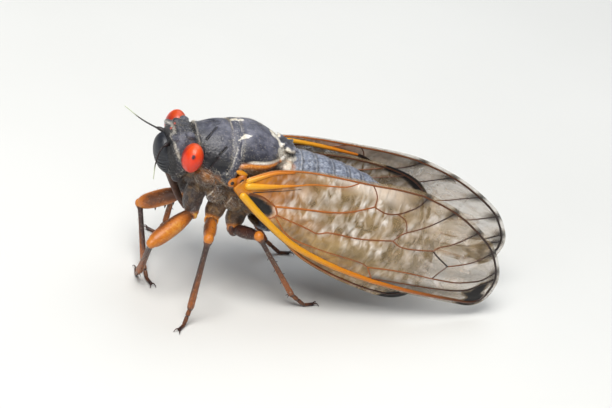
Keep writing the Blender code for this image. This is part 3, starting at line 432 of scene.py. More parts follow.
# Each leg's hip, trochanter, knee, foot, and the length of its tarsus
LEG_PLACES = {
    "front_left": ((3.4, 1.95), (4.5, 2.05, -6.4), (1.05, 4.9, -10.35), (4.57, -1.2), 2.9),
    "front_right": ((3.4, -1.95), (4.4, -2.05, -6.5), (1.95, -4.3, -10.8), (5.64, 1.5), 2.7),
    "middle_left": ((6.3, 2.35), (6.4, 3.1, -5.9), (4.5, 8.45, -5.6), (7.03, 10.07), 3.0),
    "middle_right": ((6.3, -2.35), (6.4, -3.1, -5.9), (5.4, -8.3, -5.7), (7.4, -9.7), 3.0),
    "hind_left": ((8.9, 2.2), (9.3, 3.0, -5.9), (10.75, 5.9, -4.2), (22.7, 3.6), 3.6),
    "hind_right": ((8.9, -2.2), (9.3, -3.0, -5.9), (11.4, -6.4, -5.3), (22.4, -6.6), 3.6),
}
LEGS = {
    name: dict(zip(("hip", "trochanter", "knee", "foot", "tarsus"), places), **LEG_PAIRS[name.split("_")[0]])
    for name, places in LEG_PLACES.items()
}
THIGH_SHARES = (0.0, 0.12, 0.36, 0.68, 0.9, 1.0)
THIGH_END = 0.42
KNEE_RADIUS = 0.55
KNEE_TONE = 0.80
SHIN_SHARES = (0.0, 0.06, 0.13, 0.5, 0.93, 1.0)
SHIN_TONES = (0.62, 0.40, 0.20, 0.42, 0.56, 0.20)
# The foot's joints, from the ankle on: (shares, radii, tones, how many points)
TARSUS_PARTS = (
    ((0.0, 0.2, 0.85, 1.0), (0.17, 0.22, 0.25, 0.16), (0.1, 0.46, 0.40, 0.08), 12),
    ((0.0, 0.2, 0.8, 1.0), (0.16, 0.22, 0.22, 0.19), (0.1, 0.42, 0.36, 0.08), 12),
    ((0.0, 0.15, 0.5, 1.0), (0.17, 0.20, 0.19, 0.20), (0.1, 0.40, 0.32, 0.10), 14),
)
ANKLE_LEAN = 0.25
SOLE_LENGTH = 1.1
SOLE_HEIGHT = 0.21
# Spines: ((share along the limb, distance out) for each, length, radius). On a shin the way that they
# face comes first, and the sides of a pair come last
THIGH_SPINES = (((0.28, 0.7), (0.48, 0.8), (0.70, 0.75)), 0.55, 0.15)
SHIN_SPINES = (
    (-1.0, ((0.35, 0.22), (0.55, 0.24), (0.75, 0.26)), 0.32, 0.05),
    (1.0, ((0.45, 0.22), (0.66, 0.24)), 0.28, 0.05),
    (-1.0, ((0.96, 0.2),), 0.5, 0.07, (-1.0, 1.0)),
)
CLAW_SPREAD = math.radians(28.0)
CLAW_CURVE = ((0.35, 0.36), (0.62, 0.28), (0.75, 0.10))
CLAW_RADII = (0.11, 0.03)


# Shapes: arrays of points with faces and named values at each point

def turned(points, angle, first, second):
    """The points turned by this angle, from the first axis towards the second."""
    points = np.array(points, float, ndmin=2)
    a, b = points.T[[first, second]]
    points[:, first] = a * math.cos(angle) - b * math.sin(angle)
    points[:, second] = a * math.sin(angle) + b * math.cos(angle)
    return points


def body_to_world(points):
    """Body points as world points, in millimetres."""
    return turned(points, -PITCH, 0, 2) * (1.0, -1.0, 1.0) + (CENTRE_X, CENTRE_Y, EYE_HEIGHT)


def floor_point(back, left, height):
    """The world point over the floor's (back, left) spot, at this height."""
    up = (back * math.sin(PITCH) - EYE_HEIGHT) / math.cos(PITCH)
    x, y, _ = body_to_world((back, left, up))[0]
    return np.array([x, y, height])


def unit(way):
    return way / np.linalg.norm(way)


def square_to(axis, way):
    """The unit vector nearest to this way that is square to the unit axis."""
    return unit(way - axis * (way @ axis))


class Shape:
    """Points in millimetres, faces, and named values at each point."""

    def __init__(self, points, faces, **values):
        self.points = np.asarray(points, float)
        self.faces = faces
        self.values = {name: np.broadcast_to(v, len(self.points)) for name, v in values.items()}


def join(shapes):
    names = set().union(*(shape.values for shape in shapes))
    faces = []
    start = 0
    for shape in shapes:
        faces += [tuple(i + start for i in face) for face in shape.faces]
        start += len(shape.points)
    values = {name: np.concatenate([shape.values.get(name, np.zeros(len(shape.points)))
                                    for shape in shapes])
              for name in names}
    return Shape(np.concatenate([shape.points for shape in shapes]), faces, **values)


def loft(rings, **values):
    """A closed tube through rings of equal length, its ends fanned from their middle points."""
    count = len(rings[0])
    base = (len(rings) - 1) * count
    first, last = base + count, base + count + 1
    points = np.concatenate([*rings, [np.mean(rings[0], axis=0)], [np.mean(rings[-1], axis=0)]])
    turns = [(i, (i + 1) % count) for i in range(count)]
    faces = []
    for a in range(0, base, count):
        faces += [(a + i, a + j, a + count + j, a + count + i) for i, j in turns]
    for i, j in turns:
        faces += [(j, i, first), (base + i, base + j, last)]
    full = {name: np.concatenate([np.repeat(np.asarray(rows, float), count), [rows[0], rows[-1]]])
            for name, rows in values.items()}
    return Shape(points, faces, **full)


def smooth_rows(rows, count):
    """Catmull-Rom interpolation of rows of numbers to this many rows."""
    rows = np.asarray(rows, float)
    padded = np.concatenate([[2 * rows[0] - rows[1]], rows, [2 * rows[-1] - rows[-2]]])
    found = []
    for place in np.linspace(0, len(rows) - 1, count):
        k = min(int(place), len(rows) - 2)
        t = place - k
        a, b, c, d = padded[k:k + 4]
        found.append(0.5 * (2 * b + (c - a) * t + (2 * a - 5 * b + 4 * c - d) * t**2
                            + (3 * b - a - 3 * c + d) * t**3))
    return np.array(found)


def smooth_path(points, step):
    """Points about a step apart, spread evenly on a Catmull-Rom curve through these points."""
    points = np.asarray(points, float)
    length = np.linalg.norm(np.diff(points, axis=0), axis=1).sum()
    fine = smooth_rows(points, 12 * len(points))
    place = np.concatenate([[0.0], np.cumsum(np.linalg.norm(np.diff(fine, axis=0), axis=1))])
    spots = np.linspace(0.0, place[-1], max(3, round(length / step) + 1))
    return np.stack([np.interp(spots, place, column) for column in fine.T], axis=1)


def circle_turns(count):
    return np.linspace(0.0, 2 * math.pi, count, endpoint=False)


def along_path(path, shares, values):
    """The values given at these shares of a path, at each of its evenly spread points."""
    return np.interp(np.linspace(0.0, 1.0, len(path)), shares, values)


def tube(path, radii, sides, **values):
    """A closed tube through the points, with a radius at each and rounded ends."""
    path = np.asarray(path, float)
    count = len(path)
    radii = np.broadcast_to(np.asarray(radii, float), count)
    turns = circle_turns(sides)
    side = np.array([0.0, 0.0, 1.0])
    rings = []
    rows = []
    for i in range(count):
        ahead = unit(path[min(i + 1, count - 1)] - path[max(i - 1, 0)])
        if i == 0 and abs(ahead @ side) > 0.9:
            side = np.array([1.0, 0.0, 0.0])
        side = square_to(ahead, side)
        circle = np.outer(np.cos(turns), side) + np.outer(np.sin(turns), np.cross(ahead, side))
        caps = [(0.0, 1.0)]
        if i == 0:
            caps = [(-math.sin(a), math.cos(a)) for a in reversed(CAP_ANGLES)] + caps
        if i == count - 1:
            caps += [(math.sin(a), math.cos(a)) for a in CAP_ANGLES]
        for push, shrink in caps:
            rings.append(path[i] + radii[i] * (push * ahead + shrink * circle))
            rows.append(i)
    return loft(rings, **{name: np.broadcast_to(v, count)[rows] for name, v in values.items()})


def ball(centre, half, rows=16, sides=24, turn=0.0, **values):
    """A closed ellipsoid with its poles at its ends in Z, turned about Z."""
    centre = np.asarray(centre)
    angles = circle_turns(sides)
    rings = []
    for tilt in np.linspace(-0.5, 0.5, rows)[1:-1] * math.pi:
        x = half[0] * math.cos(tilt) * np.cos(angles)
        y = half[1] * math.cos(tilt) * np.sin(angles)
        z = np.full(sides, half[2] * math.sin(tilt))
        rings.append(turned(np.stack([x, y, z], axis=1), turn, 0, 1) + centre)
    shape = loft(rings, **{name: np.full(len(rings), v) for name, v in values.items()})
    shape.points[-2:] = centre + np.outer((-1.0, 1.0), (0.0, 0.0, half[2]))
    return shape


def smoothstep(low, high, value):
    share = np.clip((value - low) / (high - low), 0.0, 1.0)
    return share * share * (3.0 - 2.0 * share)


def between(value, low, low_end, high_end, high):
    """1 between the two inner places, falling softly to 0 at the outer ones."""
    return smoothstep(low, low_end, value) * smoothstep(high, high_end, value)


def bell(value, width):
    """1 where the value is 0, falling softly over this width on both sides."""
    return np.exp(-((value / width) ** 2))


def path_distance(points, path):
    """How far each point lies from the polyline, in as many dimensions as both have."""
    points = np.asarray(points, float)
    path = np.asarray(path, float)
    least = np.full(len(points), np.inf)
    for a, b in zip(path, path[1:]):
        run = b - a
        share = np.clip((points - a) @ run / max(run @ run, 1e-12), 0.0, 1.0)
        least = np.minimum(least, np.linalg.norm(points - a - share[:, None] * run, axis=1))
    return least


def closed(outline):
    return np.array([*outline, outline[0]])


def inside(points, outline):
    """Which flat points lie inside the closed outline."""
    x, y = np.asarray(points, float).T
    found = np.zeros(len(x), bool)
    for (ax, ay), (bx, by) in zip(outline, np.roll(outline, -1, axis=0)):
        if ay == by:
            continue
        crosses = (ay > y) != (by > y)
        found ^= crosses & (x < ax + (bx - ax) * (y - ay) / (by - ay))
    return found


# Objects and materials

def add_object(name, data):
    obj = bpy.data.objects.new(name, data)
    bpy.context.scene.collection.objects.link(obj)
    return obj


def make_mesh(name, shape, scale=1.0):
    mesh = bpy.data.meshes.new(name)
    mesh.from_pydata(shape.points * scale, [], [tuple(map(int, face)) for face in shape.faces])
    for key, values in shape.values.items():
        attribute = mesh.attributes.new(key, "FLOAT", "POINT")
        attribute.data.foreach_set("value", np.ascontiguousarray(values, np.float32))
    mesh.shade_smooth()
    return mesh


def piece(name, shape, material, replaces=(), on_body=True):
    """Makes the shape a piece of the animal, standing for the frame's nodes it replaces."""
    if on_body:
        shape.points = body_to_world(shape.points)
    obj = add_object(name, make_mesh(name, shape, MM))
    obj.data.materials.append(material)
    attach(obj, "root")
    if replaces:
        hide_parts(*replaces)
    return obj


class Nodes:
    """A material's nodes, added one by one."""

    def __init__(self, name):
        self.material = bpy.data.materials.new(name)
        self.material.use_nodes = True
        self.tree = self.material.node_tree
        self.shader = self.tree.nodes["Principled BSDF"]
        self.place = self.add("ShaderNodeTexCoord", {}).outputs["Object"]

    def add(self, kind, inputs, **settings):
        """A node with these settings, and with these values or links on its inputs."""
        node = self.tree.nodes.new(kind)
        for key, value in settings.items():
            setattr(node, key, value)
        self.feed(node, inputs)
        return node

    def feed(self, node, inputs):
        for key, value in inputs.items():
            socket = node.inputs[key]
            if isinstance(value, bpy.types.NodeSocket):
                self.tree.links.new(value, socket)
            elif socket.type == "RGBA" and hasattr(value, "__len__"):
                socket.default_value = (*value, 1.0)
            else:
                socket.default_value = value

    def scaled_noise(self, place, scale, detail, distortion):
        mapping = self.add("ShaderNodeMapping", {"Vector": place, "Scale": scale})
        inputs = {"Vector": mapping.outputs[0], "Scale": 1.0, "Detail": detail, "Distortion": distortion}
        return self.add("ShaderNodeTexNoise", inputs).outputs["Fac"]

    def noise(self, size, detail=3.0, distortion=0.0):
        """Noise whose blobs are about this many millimetres across."""
        return self.scaled_noise(self.place, (1.0 / (size * MM),) * 3, detail, distortion)

    def flat_noise(self, flat, sizes, detail, distortion):
        """Noise over the wing's own plane, with blobs this long and wide in millimetres."""
        return self.scaled_noise(flat, (1.0 / sizes[0], 1.0 / sizes[1], 1.0), detail, distortion)

    def facets(self, size):
        """How far each place is from the middle of its cell, for cells of about this size."""
        inputs = {"Vector": self.place, "Scale": 1.0 / (size * MM)}
        return self.add("ShaderNodeTexVoronoi", inputs).outputs["Distance"]

    def value(self, name):
        return self.add("ShaderNodeAttribute", {}, attribute_name=name).outputs["Fac"]

    def ramp(self, value, *stops):
        """Colours or greys at places from 0 to 1."""
        node = self.add("ShaderNodeValToRGB", {"Fac": value})
        elements = node.color_ramp.elements
        while len(elements) < len(stops):
            elements.new(0.5)
        for element, (place, colour) in zip(elements, stops):
            element.position = place
            rgb = colour if hasattr(colour, "__len__") else (colour,) * 3
            element.color = (*rgb, 1.0)
        return node.outputs["Color"]

    def shades(self, noise, low, high):
        """From the low colour or grey to the high one over the range that noise covers."""
        return self.ramp(noise, (0.3, low), (0.7, high))

    def math(self, operation, *values, clamp=False):
        node = self.add("ShaderNodeMath", dict(enumerate(values)), operation=operation, use_clamp=clamp)
        return node.outputs["Value"]

    def plus(self, a, b, clamp=False):
        return self.math("ADD", a, b, clamp=clamp)

    def times(self, a, b, clamp=False):
        return self.math("MULTIPLY", a, b, clamp=clamp)

    def mix(self, factor, a, b):
        inputs = {"Factor": factor, "A": a, "B": b}
        return self.add("ShaderNodeMix", inputs, data_type="RGBA").outputs["Result"]

    def cover(self, colour, *layers):
        """The colour under (name, colour) layers, each as dense as the value of that name."""
        for name, shade in layers:
            colour = self.mix(self.value(name), colour, shade)
        return colour

    def bump(self, *layers):
        """Bump from (height, millimetres of it) layers, one over the other."""
        below = {}
        for height, distance in layers:
            inputs = {"Strength": 1.0, "Distance": distance * MM, "Height": height, **below}
            below = {"Normal": self.add("ShaderNodeBump", inputs).outputs["Normal"]}
        self.feed(self.shader, below)

    def finish(self, colour, roughness, **fixed):
        """Feeds the colour and roughness, and sets even values on the shader itself."""
        even = {key.replace("_", " "): value for key, value in fixed.items()}
        self.feed(self.shader, {"Base Color": colour, "Roughness": roughness, **even})
        return self.material


def skin_material():
    """Blue-black horn under a lilac layer that is partly bloom and partly painted sky sheen, with pale down,
    warm flanks, orange rims and ashen rings brightened by painted sheen.
    """
    n = Nodes("cicada_skin")
    mottle = n.noise(0.9, 5.0, 0.4)
    fine = n.noise(0.14, 4.0)
    colour = n.shades(mottle, (0.003, 0.003, 0.005), (0.008, 0.009, 0.014))
    # The lilac layer is partly the skin's bloom and partly painted sky sheen on the black horn
    lilac = n.ramp(mottle, (0.28, (0.034, 0.035, 0.052)), (0.50, (0.082, 0.084, 0.116)),
                   (0.74, (0.18, 0.18, 0.225)))
    # Ash over the abdomen's rings, its colours partly brightened as painted sheen
    ash_and_sheen = n.ramp(n.noise(0.35, 5.0, 0.5), (0.30, (0.062, 0.070, 0.105)), (0.55, (0.20, 0.225, 0.29)),
                 (0.75, (0.46, 0.49, 0.56)))
    warm = n.ramp(n.noise(0.7, 5.0, 0.6), (0.28, (0.014, 0.008, 0.006)), (0.50, (0.080, 0.038, 0.014)),
                  (0.72, (0.26, 0.145, 0.050)))
    orange = n.shades(fine, (0.42, 0.10, 0.008), (0.74, 0.29, 0.030))
    colour = n.cover(colour, ("bloom", lilac), ("ash_and_sheen", ash_and_sheen), ("warm", warm), ("orange", orange))
    # Pale specks: dust and down, and on upper parts a painted highlight
    dust_and_sheen = n.times(n.ramp(fine, (0.56, 0.0), (0.70, 1.0)), n.value("dust_and_sheen"))
    colour = n.mix(dust_and_sheen, colour, (0.50, 0.48, 0.46))
    ragged = n.plus(n.value("pale"), n.times(n.math("SUBTRACT", fine, 0.5), 1.3), clamp=True)
    ragged = n.times(ragged, n.ramp(n.value("pale"), (0.05, 0.0), (0.35, 1.0)), clamp=True)
    colour = n.mix(ragged, colour, n.shades(mottle, (0.62, 0.55, 0.42), (0.90, 0.87, 0.80)))
    colour = n.cover(colour, ("dark", (0.006, 0.005, 0.006)))
    roughness = n.cover(n.shades(mottle, 0.26, 0.40), ("bloom", n.shades(mottle, 0.32, 0.46)))
    roughness = n.mix(ragged, roughness, (0.85, 0.85, 0.85))
    n.bump((n.times(n.noise(0.28, 4.0), n.value("rough")), 0.11), (fine, 0.018),
           (n.noise(0.05, 2.0), 0.007))
    return n.finish(colour, roughness, Sheen_Weight=0.12, Sheen_Roughness=0.4, Specular_IOR_Level=0.5)


def horn_material(name, tone):
    """Hard dark horn for the face plate, beak and claws."""
    n = Nodes(name)
    grain = n.noise(0.35, 4.0, 0.5)
    colour = n.shades(grain, [0.5 * c for c in tone], [1.6 * c for c in tone])
    n.bump((n.noise(0.09, 3.0), 0.012))
    return n.finish(colour, n.shades(grain, 0.35, 0.49))


def leg_material():
    """Legs from black streaks through orange-brown to golden, by the tone at each point."""
    n = Nodes("cicada_leg")
    streak = n.noise(0.30, 4.0, 0.8)
    tone = n.plus(n.value("tone"), n.times(n.math("SUBTRACT", streak, 0.5), 0.35), clamp=True)
    colour = n.ramp(tone, (0.0, (0.008, 0.005, 0.005)), (0.20, (0.035, 0.012, 0.009)),
                    (0.42, (0.12, 0.042, 0.016)), (0.62, (0.36, 0.100, 0.014)),
                    (0.82, (0.56, 0.18, 0.018)), (1.0, (0.74, 0.42, 0.08)))
    colour = n.cover(colour, ("pale", (0.50, 0.55, 0.38)))
    n.bump((n.noise(0.12, 4.0), 0.030), (n.noise(0.04, 2.0), 0.008))
    return n.finish(colour, n.shades(streak, 0.26, 0.42))


def eye_material():
    """A vermilion compound eye: fine facets, a deeper rim, a painted highlight brighter towards its top, and
    one dark spot.
    """
    n = Nodes("cicada_eye")
    depth = n.noise(1.2, 2.0)
    colour = n.shades(depth, (0.60, 0.018, 0.001), (0.74, 0.046, 0.002))
    colour = n.cover(colour, ("rim", (0.30, 0.008, 0.004)), ("painted_top_light", (0.82, 0.11, 0.012)),
                     ("spot", (0.035, 0.012, 0.025)))
    n.bump((n.facets(0.055), 0.008))
    return n.finish(colour, n.shades(depth, 0.30, 0.40), Coat_Weight=0.18, Coat_Roughness=0.16)


def ocellus_material():
    """Rosy beads on the crown of the head."""
    n = Nodes("cicada_ocellus")
    depth = n.noise(0.3, 2.0)
    colour = n.shades(depth, (0.26, 0.035, 0.025), (0.42, 0.10, 0.07))
    return n.finish(colour, n.shades(depth, 0.16, 0.24), Coat_Weight=0.5, Coat_Roughness=0.1)


def membrane_material():
    """Crumpled film with painted glints between the veins, whitish highlights in its colour that also make
    it more opaque; amber, smoky and black where the values say.
    """
    n = Nodes("cicada_membrane")
    along = n.value("along")
    flat = n.add("ShaderNodeCombineXYZ", {"X": along, "Y": n.value("across")}).outputs["Vector"]
    cloud = n.noise(2.4, 4.0, 0.8)
    # Short cross ripples near the root turn into long ones over this stretch of the wing
    first, last = RIPPLES_TURN
    outer = n.math("MULTIPLY_ADD", along, 1.0 / (last - first), -first / (last - first), clamp=True)
    ripple = n.mix(outer, n.flat_noise(flat, (0.70, 1.30), 1.5, 0.6),
                   n.flat_noise(flat, (2.4, 0.85), 1.5, 0.5))
    crumple = n.flat_noise(flat, (1.6, 2.2), 3.0, 0.5)
    patches = n.flat_noise(flat, (4.2, 2.8), 2.0, 0.3)
    # Painted glints: ripples and crumples lighten the colour towards white, as highlights on the film
    glint = n.math("MULTIPLY_ADD", ripple, 0.6, n.times(crumple, 0.4))
    glint = n.times(n.ramp(glint, (0.43, 0.0), (0.62, 1.0)), n.ramp(patches, (0.38, 0.30), (0.60, 1.0)))
    glint = n.times(glint, n.value("glint_strength"))
    # Painted sheen: a whitish painted reflection along the wing's inner margin, at least this bright
    glint = n.math("MAXIMUM", glint, n.times(n.value("painted_sheen"), 0.75))
    amber = n.shades(cloud, (0.24, 0.075, 0.010), (0.52, 0.19, 0.022))
    colour = n.cover(n.shades(cloud, (0.22, 0.145, 0.055), (0.50, 0.36, 0.20)), ("amber", amber))
    colour = n.mix(glint, colour, n.shades(crumple, (0.70, 0.57, 0.46), (0.92, 0.87, 0.82)))
    colour = n.mix(n.times(n.value("olive"), 0.6), colour,
                   n.shades(cloud, (0.10, 0.055, 0.010), (0.30, 0.19, 0.035)))
    colour = n.cover(colour, ("gold", (0.56, 0.20, 0.012)), ("smoke", (0.045, 0.042, 0.040)),
                     ("black", (0.004, 0.003, 0.003)))
    alpha = n.math("MULTIPLY_ADD", cloud, 0.25, n.value("body"))
    # The painted glints also make the film more opaque
    alpha = n.plus(alpha, n.times(glint, 0.40))
    for name, cover in (("amber", 0.25), ("olive", 0.22), ("smoke", 0.55), ("black", 1.2)):
        alpha = n.plus(alpha, n.times(n.value(name), cover), clamp=True)
    n.feed(n.shader, {"Alpha": alpha})
    n.bump((ripple, 0.20), (crumple, 0.14), (n.noise(0.2, 3.0, 0.5), 0.012))
    n.material.blend_method = "BLEND"
    rough = n.cover(n.shades(cloud, 0.14, 0.26), ("black", (0.8, 0.8, 0.8)))
    return n.finish(colour, rough, Coat_Weight=0.18, Coat_Roughness=0.10)


def vein_material():
    """Veins and wing bases: gold, orange, red-brown, then black, by the tone at each point."""
    n = Nodes("cicada_vein")
    grain = n.noise(0.5, 3.0, 0.3)
    tone = n.math("MULTIPLY_ADD", n.value("tone"), 1.0 / 3.0, -0.10)
    tone = n.plus(tone, n.times(grain, 0.12), clamp=True)
    colour = n.ramp(tone, (0.0, (0.74, 0.37, 0.016)), (0.20, (0.60, 0.19, 0.008)),
                    (0.42, (0.38, 0.105, 0.012)), (0.64, (0.155, 0.048, 0.013)),
                    (0.85, (0.025, 0.011, 0.008)), (1.0, (0.008, 0.006, 0.006)))
    n.bump((n.noise(0.15, 3.0), 0.018))
    return n.finish(colour, n.shades(grain, 0.26, 0.40))


def hair_material():
    n = Nodes("cicada_hair")
    colour = n.shades(n.noise(1.5, 3.0), (0.28, 0.23, 0.16), (0.68, 0.64, 0.56))
    return n.finish(colour, n.shades(n.noise(0.5), 0.5, 0.65))


def floor_material():
    n = Nodes("studio_floor")
    cloud = n.noise(60.0, 4.0)
    colour = n.shades(cloud, (0.70, 0.70, 0.68), (0.74, 0.74, 0.72))
    return n.finish(colour, n.shades(cloud, 0.75, 0.82))


# The body's skin

def oval(section, lowest=None, highest=None, floor=None, square=1.0):
    """One oval section of the trunk, squared by a power. A lowest or highest height cuts it at its widest
    place, and stands for the bottom or top that it doesn't have."""
    back, half_width, *heights, bow = section
    if lowest is not None:
        heights = (heights[0], 2 * lowest - heights[0])
    if highest is not None:
        heights = (2 * highest - heights[0], heights[0])
    top, bottom = heights
    angles = circle_turns(SKIN_SIDES)
    cosine, sine = np.cos(angles), np.sin(angles)
    left = half_width * np.sign(cosine) * np.abs(cosine) ** square
    up = (top + bottom) / 2 + (top - bottom) / 2 * np.sign(sine) * np.abs(sine) ** square
    for least in (lowest, floor):
        if least is not None:
            up = np.maximum(up, least)
    if highest is not None:
        up = np.minimum(up, highest)
    return np.stack([back + bow * left**2, left, up], axis=1)


def trunk_part(sections, count, **cut):
    return loft([oval(section, **cut) for section in smooth_rows(sections, count)])


def abdomen_part():
    """Overlapping rings: each hind edge stands a step above the next one's front."""
    table = np.array(ABDOMEN_SHAPE)
    rings = []
    for front, rear in zip(ABDOMEN_RINGS, ABDOMEN_RINGS[1:]):
        for share, swell in RING_PROFILE:
            back = front + share * (rear - front)
            half_width, top, bottom = (np.interp(back, table[:, 0], table[:, k]) for k in (1, 2, 3))
            rings.append(oval((back, half_width + swell, top + swell, bottom - swell, 0.0)))
    return loft(rings)


def coxa_path(leg):
    """The stout base of a leg as points and radii, in body points."""
    hip = np.array([*leg["hip"], COXA_TOP + 0.5])
    below = np.array([*leg["hip"], COXA_TOP - COXA_DROP])
    joint = np.array(leg["trochanter"])
    steps = np.linspace(0.0, 0.94, 9)[:, None]
    path = (hip + (below - hip) * steps) * (1 - steps) + (below + (joint - below) * steps) * steps
    return path, np.interp(steps[:, 0], (0.0, 0.6, 0.94), leg["coxa"])


def fuse(shapes, voxel):
    """One closed skin round all the shapes, with its points' outward directions."""
    obj = add_object("fused", make_mesh("fused", join(shapes)))
    remesh = obj.modifiers.new("Remesh", "REMESH")
    remesh.mode = "VOXEL"
    remesh.voxel_size = voxel
    smooth = obj.modifiers.new("Smooth", "SMOOTH")
    smooth.factor = 0.5
    smooth.iterations = 3
    graph = bpy.context.evaluated_depsgraph_get()
    mesh = bpy.data.meshes.new_from_object(obj.evaluated_get(graph))
    bpy.data.objects.remove(obj)
    points = np.zeros((len(mesh.vertices), 3))
    normals = np.zeros_like(points)
    mesh.vertices.foreach_get("co", points.ravel())
    mesh.vertices.foreach_get("normal", normals.ravel())
    faces = [tuple(polygon.vertices) for polygon in mesh.polygons]
    bpy.data.meshes.remove(mesh)
    return Shape(points, faces), normals


def neck_gap(back, left):
    """How far in front of the groove behind the head a point is."""
    return NECK[0] + NECK[1] * left**2 - back


class Coat:
    """The values at the skin's points, and how far each point rises from the plain form."""

    def __init__(self, values):
        zero = np.zeros(len(values["ash_and_sheen"]))
        self.values = {"orange": zero, "pale": zero, "dark": zero, **values}
        self.rise = zero.copy()

    def lay(self, name, share):
        self.values[name] = np.maximum(self.values[name], share)


def skin_coat(skin):
    """The skin's zones as values at each point, with all of its lines and spots worked in."""
    back, left, up = skin.points.T
    side = np.abs(left)
    over_rim = up - np.interp(back, *zip(*RIM))
    neck = neck_gap(back, left)
    on_head = smoothstep(*HEAD_EDGE, neck)
    behind_collar = back - (COLLAR_REAR + COLLAR_BOW * left**2)
    on_collar = smoothstep(*COLLAR_FRONT, back - COLLAR_BOW * left**2)
    on_collar *= smoothstep(*COLLAR_END, behind_collar)
    on_back = smoothstep(*BACK_FRONT, behind_collar) * smoothstep(*BACK_RIM, over_rim)
    on_back *= smoothstep(*BACK_END, back)
    ringed = smoothstep(*RINGS_FRONT, back)
    below = smoothstep(*BELOW_EDGE, up) * (1.0 - ringed) * smoothstep(*BELOW_FRONT, back)
    flank = smoothstep(*FLANK_RIM, over_rim) * smoothstep(*FLANK_FRONT, back) * (1.0 - ringed)
    # Shares of the face plate's half sizes, which reach 1 on its own surface
    from_face = turned(skin.points - CLYPEUS_CENTRE, CLYPEUS_TILT, 0, 2) / CLYPEUS_HALF
    beside = np.linalg.norm(from_face, axis=1)
    face = smoothstep(*FACE_EDGE, beside) * on_head
    strip = bell(beside - STRIP_PLACE, STRIP_HALF) * on_head
    cheek = smoothstep(*CHEEK_EDGE, beside) * smoothstep(*CHEEK_SIDE, side) * on_head
    # The lilac layer: partly bloom, partly painted sky sheen, painted stronger higher up so that the tops
    # look lit
    bloom = 0.15 + 0.15 * on_head + 0.60 * on_collar + 0.75 * cheek
    bloom += on_back * (0.02 + 0.72 * smoothstep(2.4, 4.5, up))
    bloom += (1 - on_head) * (1 - on_collar) * (1 - on_back) * 0.62 * smoothstep(1.2, 3.0, up)
    bloom *= 0.66 + 0.5 * smoothstep(1.0, 3.9, up)
    # Dust and down, and painted highlight: the abdomen's front top and the upper body are whitened as if lit
    dust_and_sheen = 0.7 * ringed * smoothstep(17.0, 12.5, back) * smoothstep(1.0, 3.0, up)
    dust_and_sheen += 0.22 * (1.0 - on_head) * (1.0 - ringed) * smoothstep(0.4, 1.0, up)
    dust_and_sheen += (0.55 - 0.40 * cheek + 0.9 * strip) * on_head + 0.6 * on_collar + 0.08 * below
    dust_and_sheen += 0.12 * (1 - on_back) * smoothstep(2.5, 1.0, up)
    warm = 0.9 * below * (1.0 - 0.5 * smoothstep(-2.6, -4.2, up)) + 0.7 * flank
    rough = 0.50 + 0.65 * on_head + 0.5 * below + 0.2 * on_collar - 0.3 * on_back
    shares = {"bloom": bloom, "ash_and_sheen": ringed, "warm": warm, "dust_and_sheen": dust_and_sheen, "rough": rough}
    coat = Coat({name: np.clip(share, 0.0, 1.0) for name, share in shares.items()})

    # The face plate's grooves go on over the skin round it
    row = np.arcsin(np.clip(from_face[:, 0], -1.0, 1.0)) / math.pi + 0.5
    ripple = np.clip(np.cos(2 * math.pi * CLYPEUS_GROOVES * row), 0.0, 1.0)
    coat.rise -= FACE_GROOVE * face * ripple * smoothstep(*GROOVES_START, row)
    coat.lay("dark", 0.9 * face)
    coat.lay("pale", 0.36 * strip * smoothstep(-1.9, -1.0, up))

    # Orange round each trochanter and at the lower ends of the coxae
    for leg in LEGS.values():
        far = np.linalg.norm(skin.points - leg["trochanter"], axis=1)
        coat.lay("orange", 0.8 * smoothstep(1.15, 0.75, far))
    coat.lay("orange", 0.45 * smoothstep(-6.1, -6.5, up))

    # The groove behind the head, with a pale line on its front edge
    crown = smoothstep(2.9, 2.5, side) * smoothstep(0.2, 0.8, up)
    cut = bell(neck, 0.15) * crown
    coat.rise -= 0.20 * cut
    coat.lay("dark", 0.95 * cut)
    coat.lay("pale", 0.34 * bell(neck + 0.24, 0.10) * crown)

    # The mesonotum's orange rim, the pale line above it and the cream patch behind
    margin = bell(over_rim, 0.26) * between(back, 4.9, 5.3, 9.6, 10.6)
    coat.rise += 0.20 * margin
    coat.lay("orange", np.clip(1.3 * margin, 0.0, 1.0) * smoothstep(9.6, 8.8, back))
    above = bell(over_rim - 0.42, 0.15) * between(back, 5.3, 6.5, 11.0, 11.4)
    coat.rise -= 0.05 * above
    coat.lay("pale", 0.85 * above)
    cream = between(back, 9.2, 9.8, 11.2, 11.6) * smoothstep(0.1, -0.3, over_rim + 0.1)
    coat.lay("pale", 0.95 * cream * smoothstep(2.2, 3.0, up))

    # Pale hind edges of the abdomen's rings, with dark lines beside them
    gap = np.min(np.abs(back[:, None] - ABDOMEN_RINGS[2:] + 0.12), axis=1)
    coat.lay("pale", 0.28 * ringed * bell(gap, 0.10) * smoothstep(26.0, 24.0, back))
    coat.lay("dark", 0.45 * ringed * bell(gap - 0.30, 0.12))

    mirrored = np.stack([back, side, up], axis=1)
    for width, height, name, share, path in SKIN_LINES:
        far = path_distance(mirrored, path)
        coat.rise += height * bell(far, width)
        coat.lay(name, share * smoothstep(1.5 * width, 0.6 * width, far))
    for radius, soft, name, share, centre in SKIN_SPOTS:
        far = np.linalg.norm((skin.points if centre[1] < 0.0 else mirrored) - centre, axis=1)
        coat.lay(name, share * smoothstep(radius + soft, radius - soft / 2, far))
    arrow = inside(np.stack([back, up], axis=1), np.array(WHITE_ARROW)) & (side > 1.2)
    coat.lay("pale", 1.0 * arrow)
    return coat


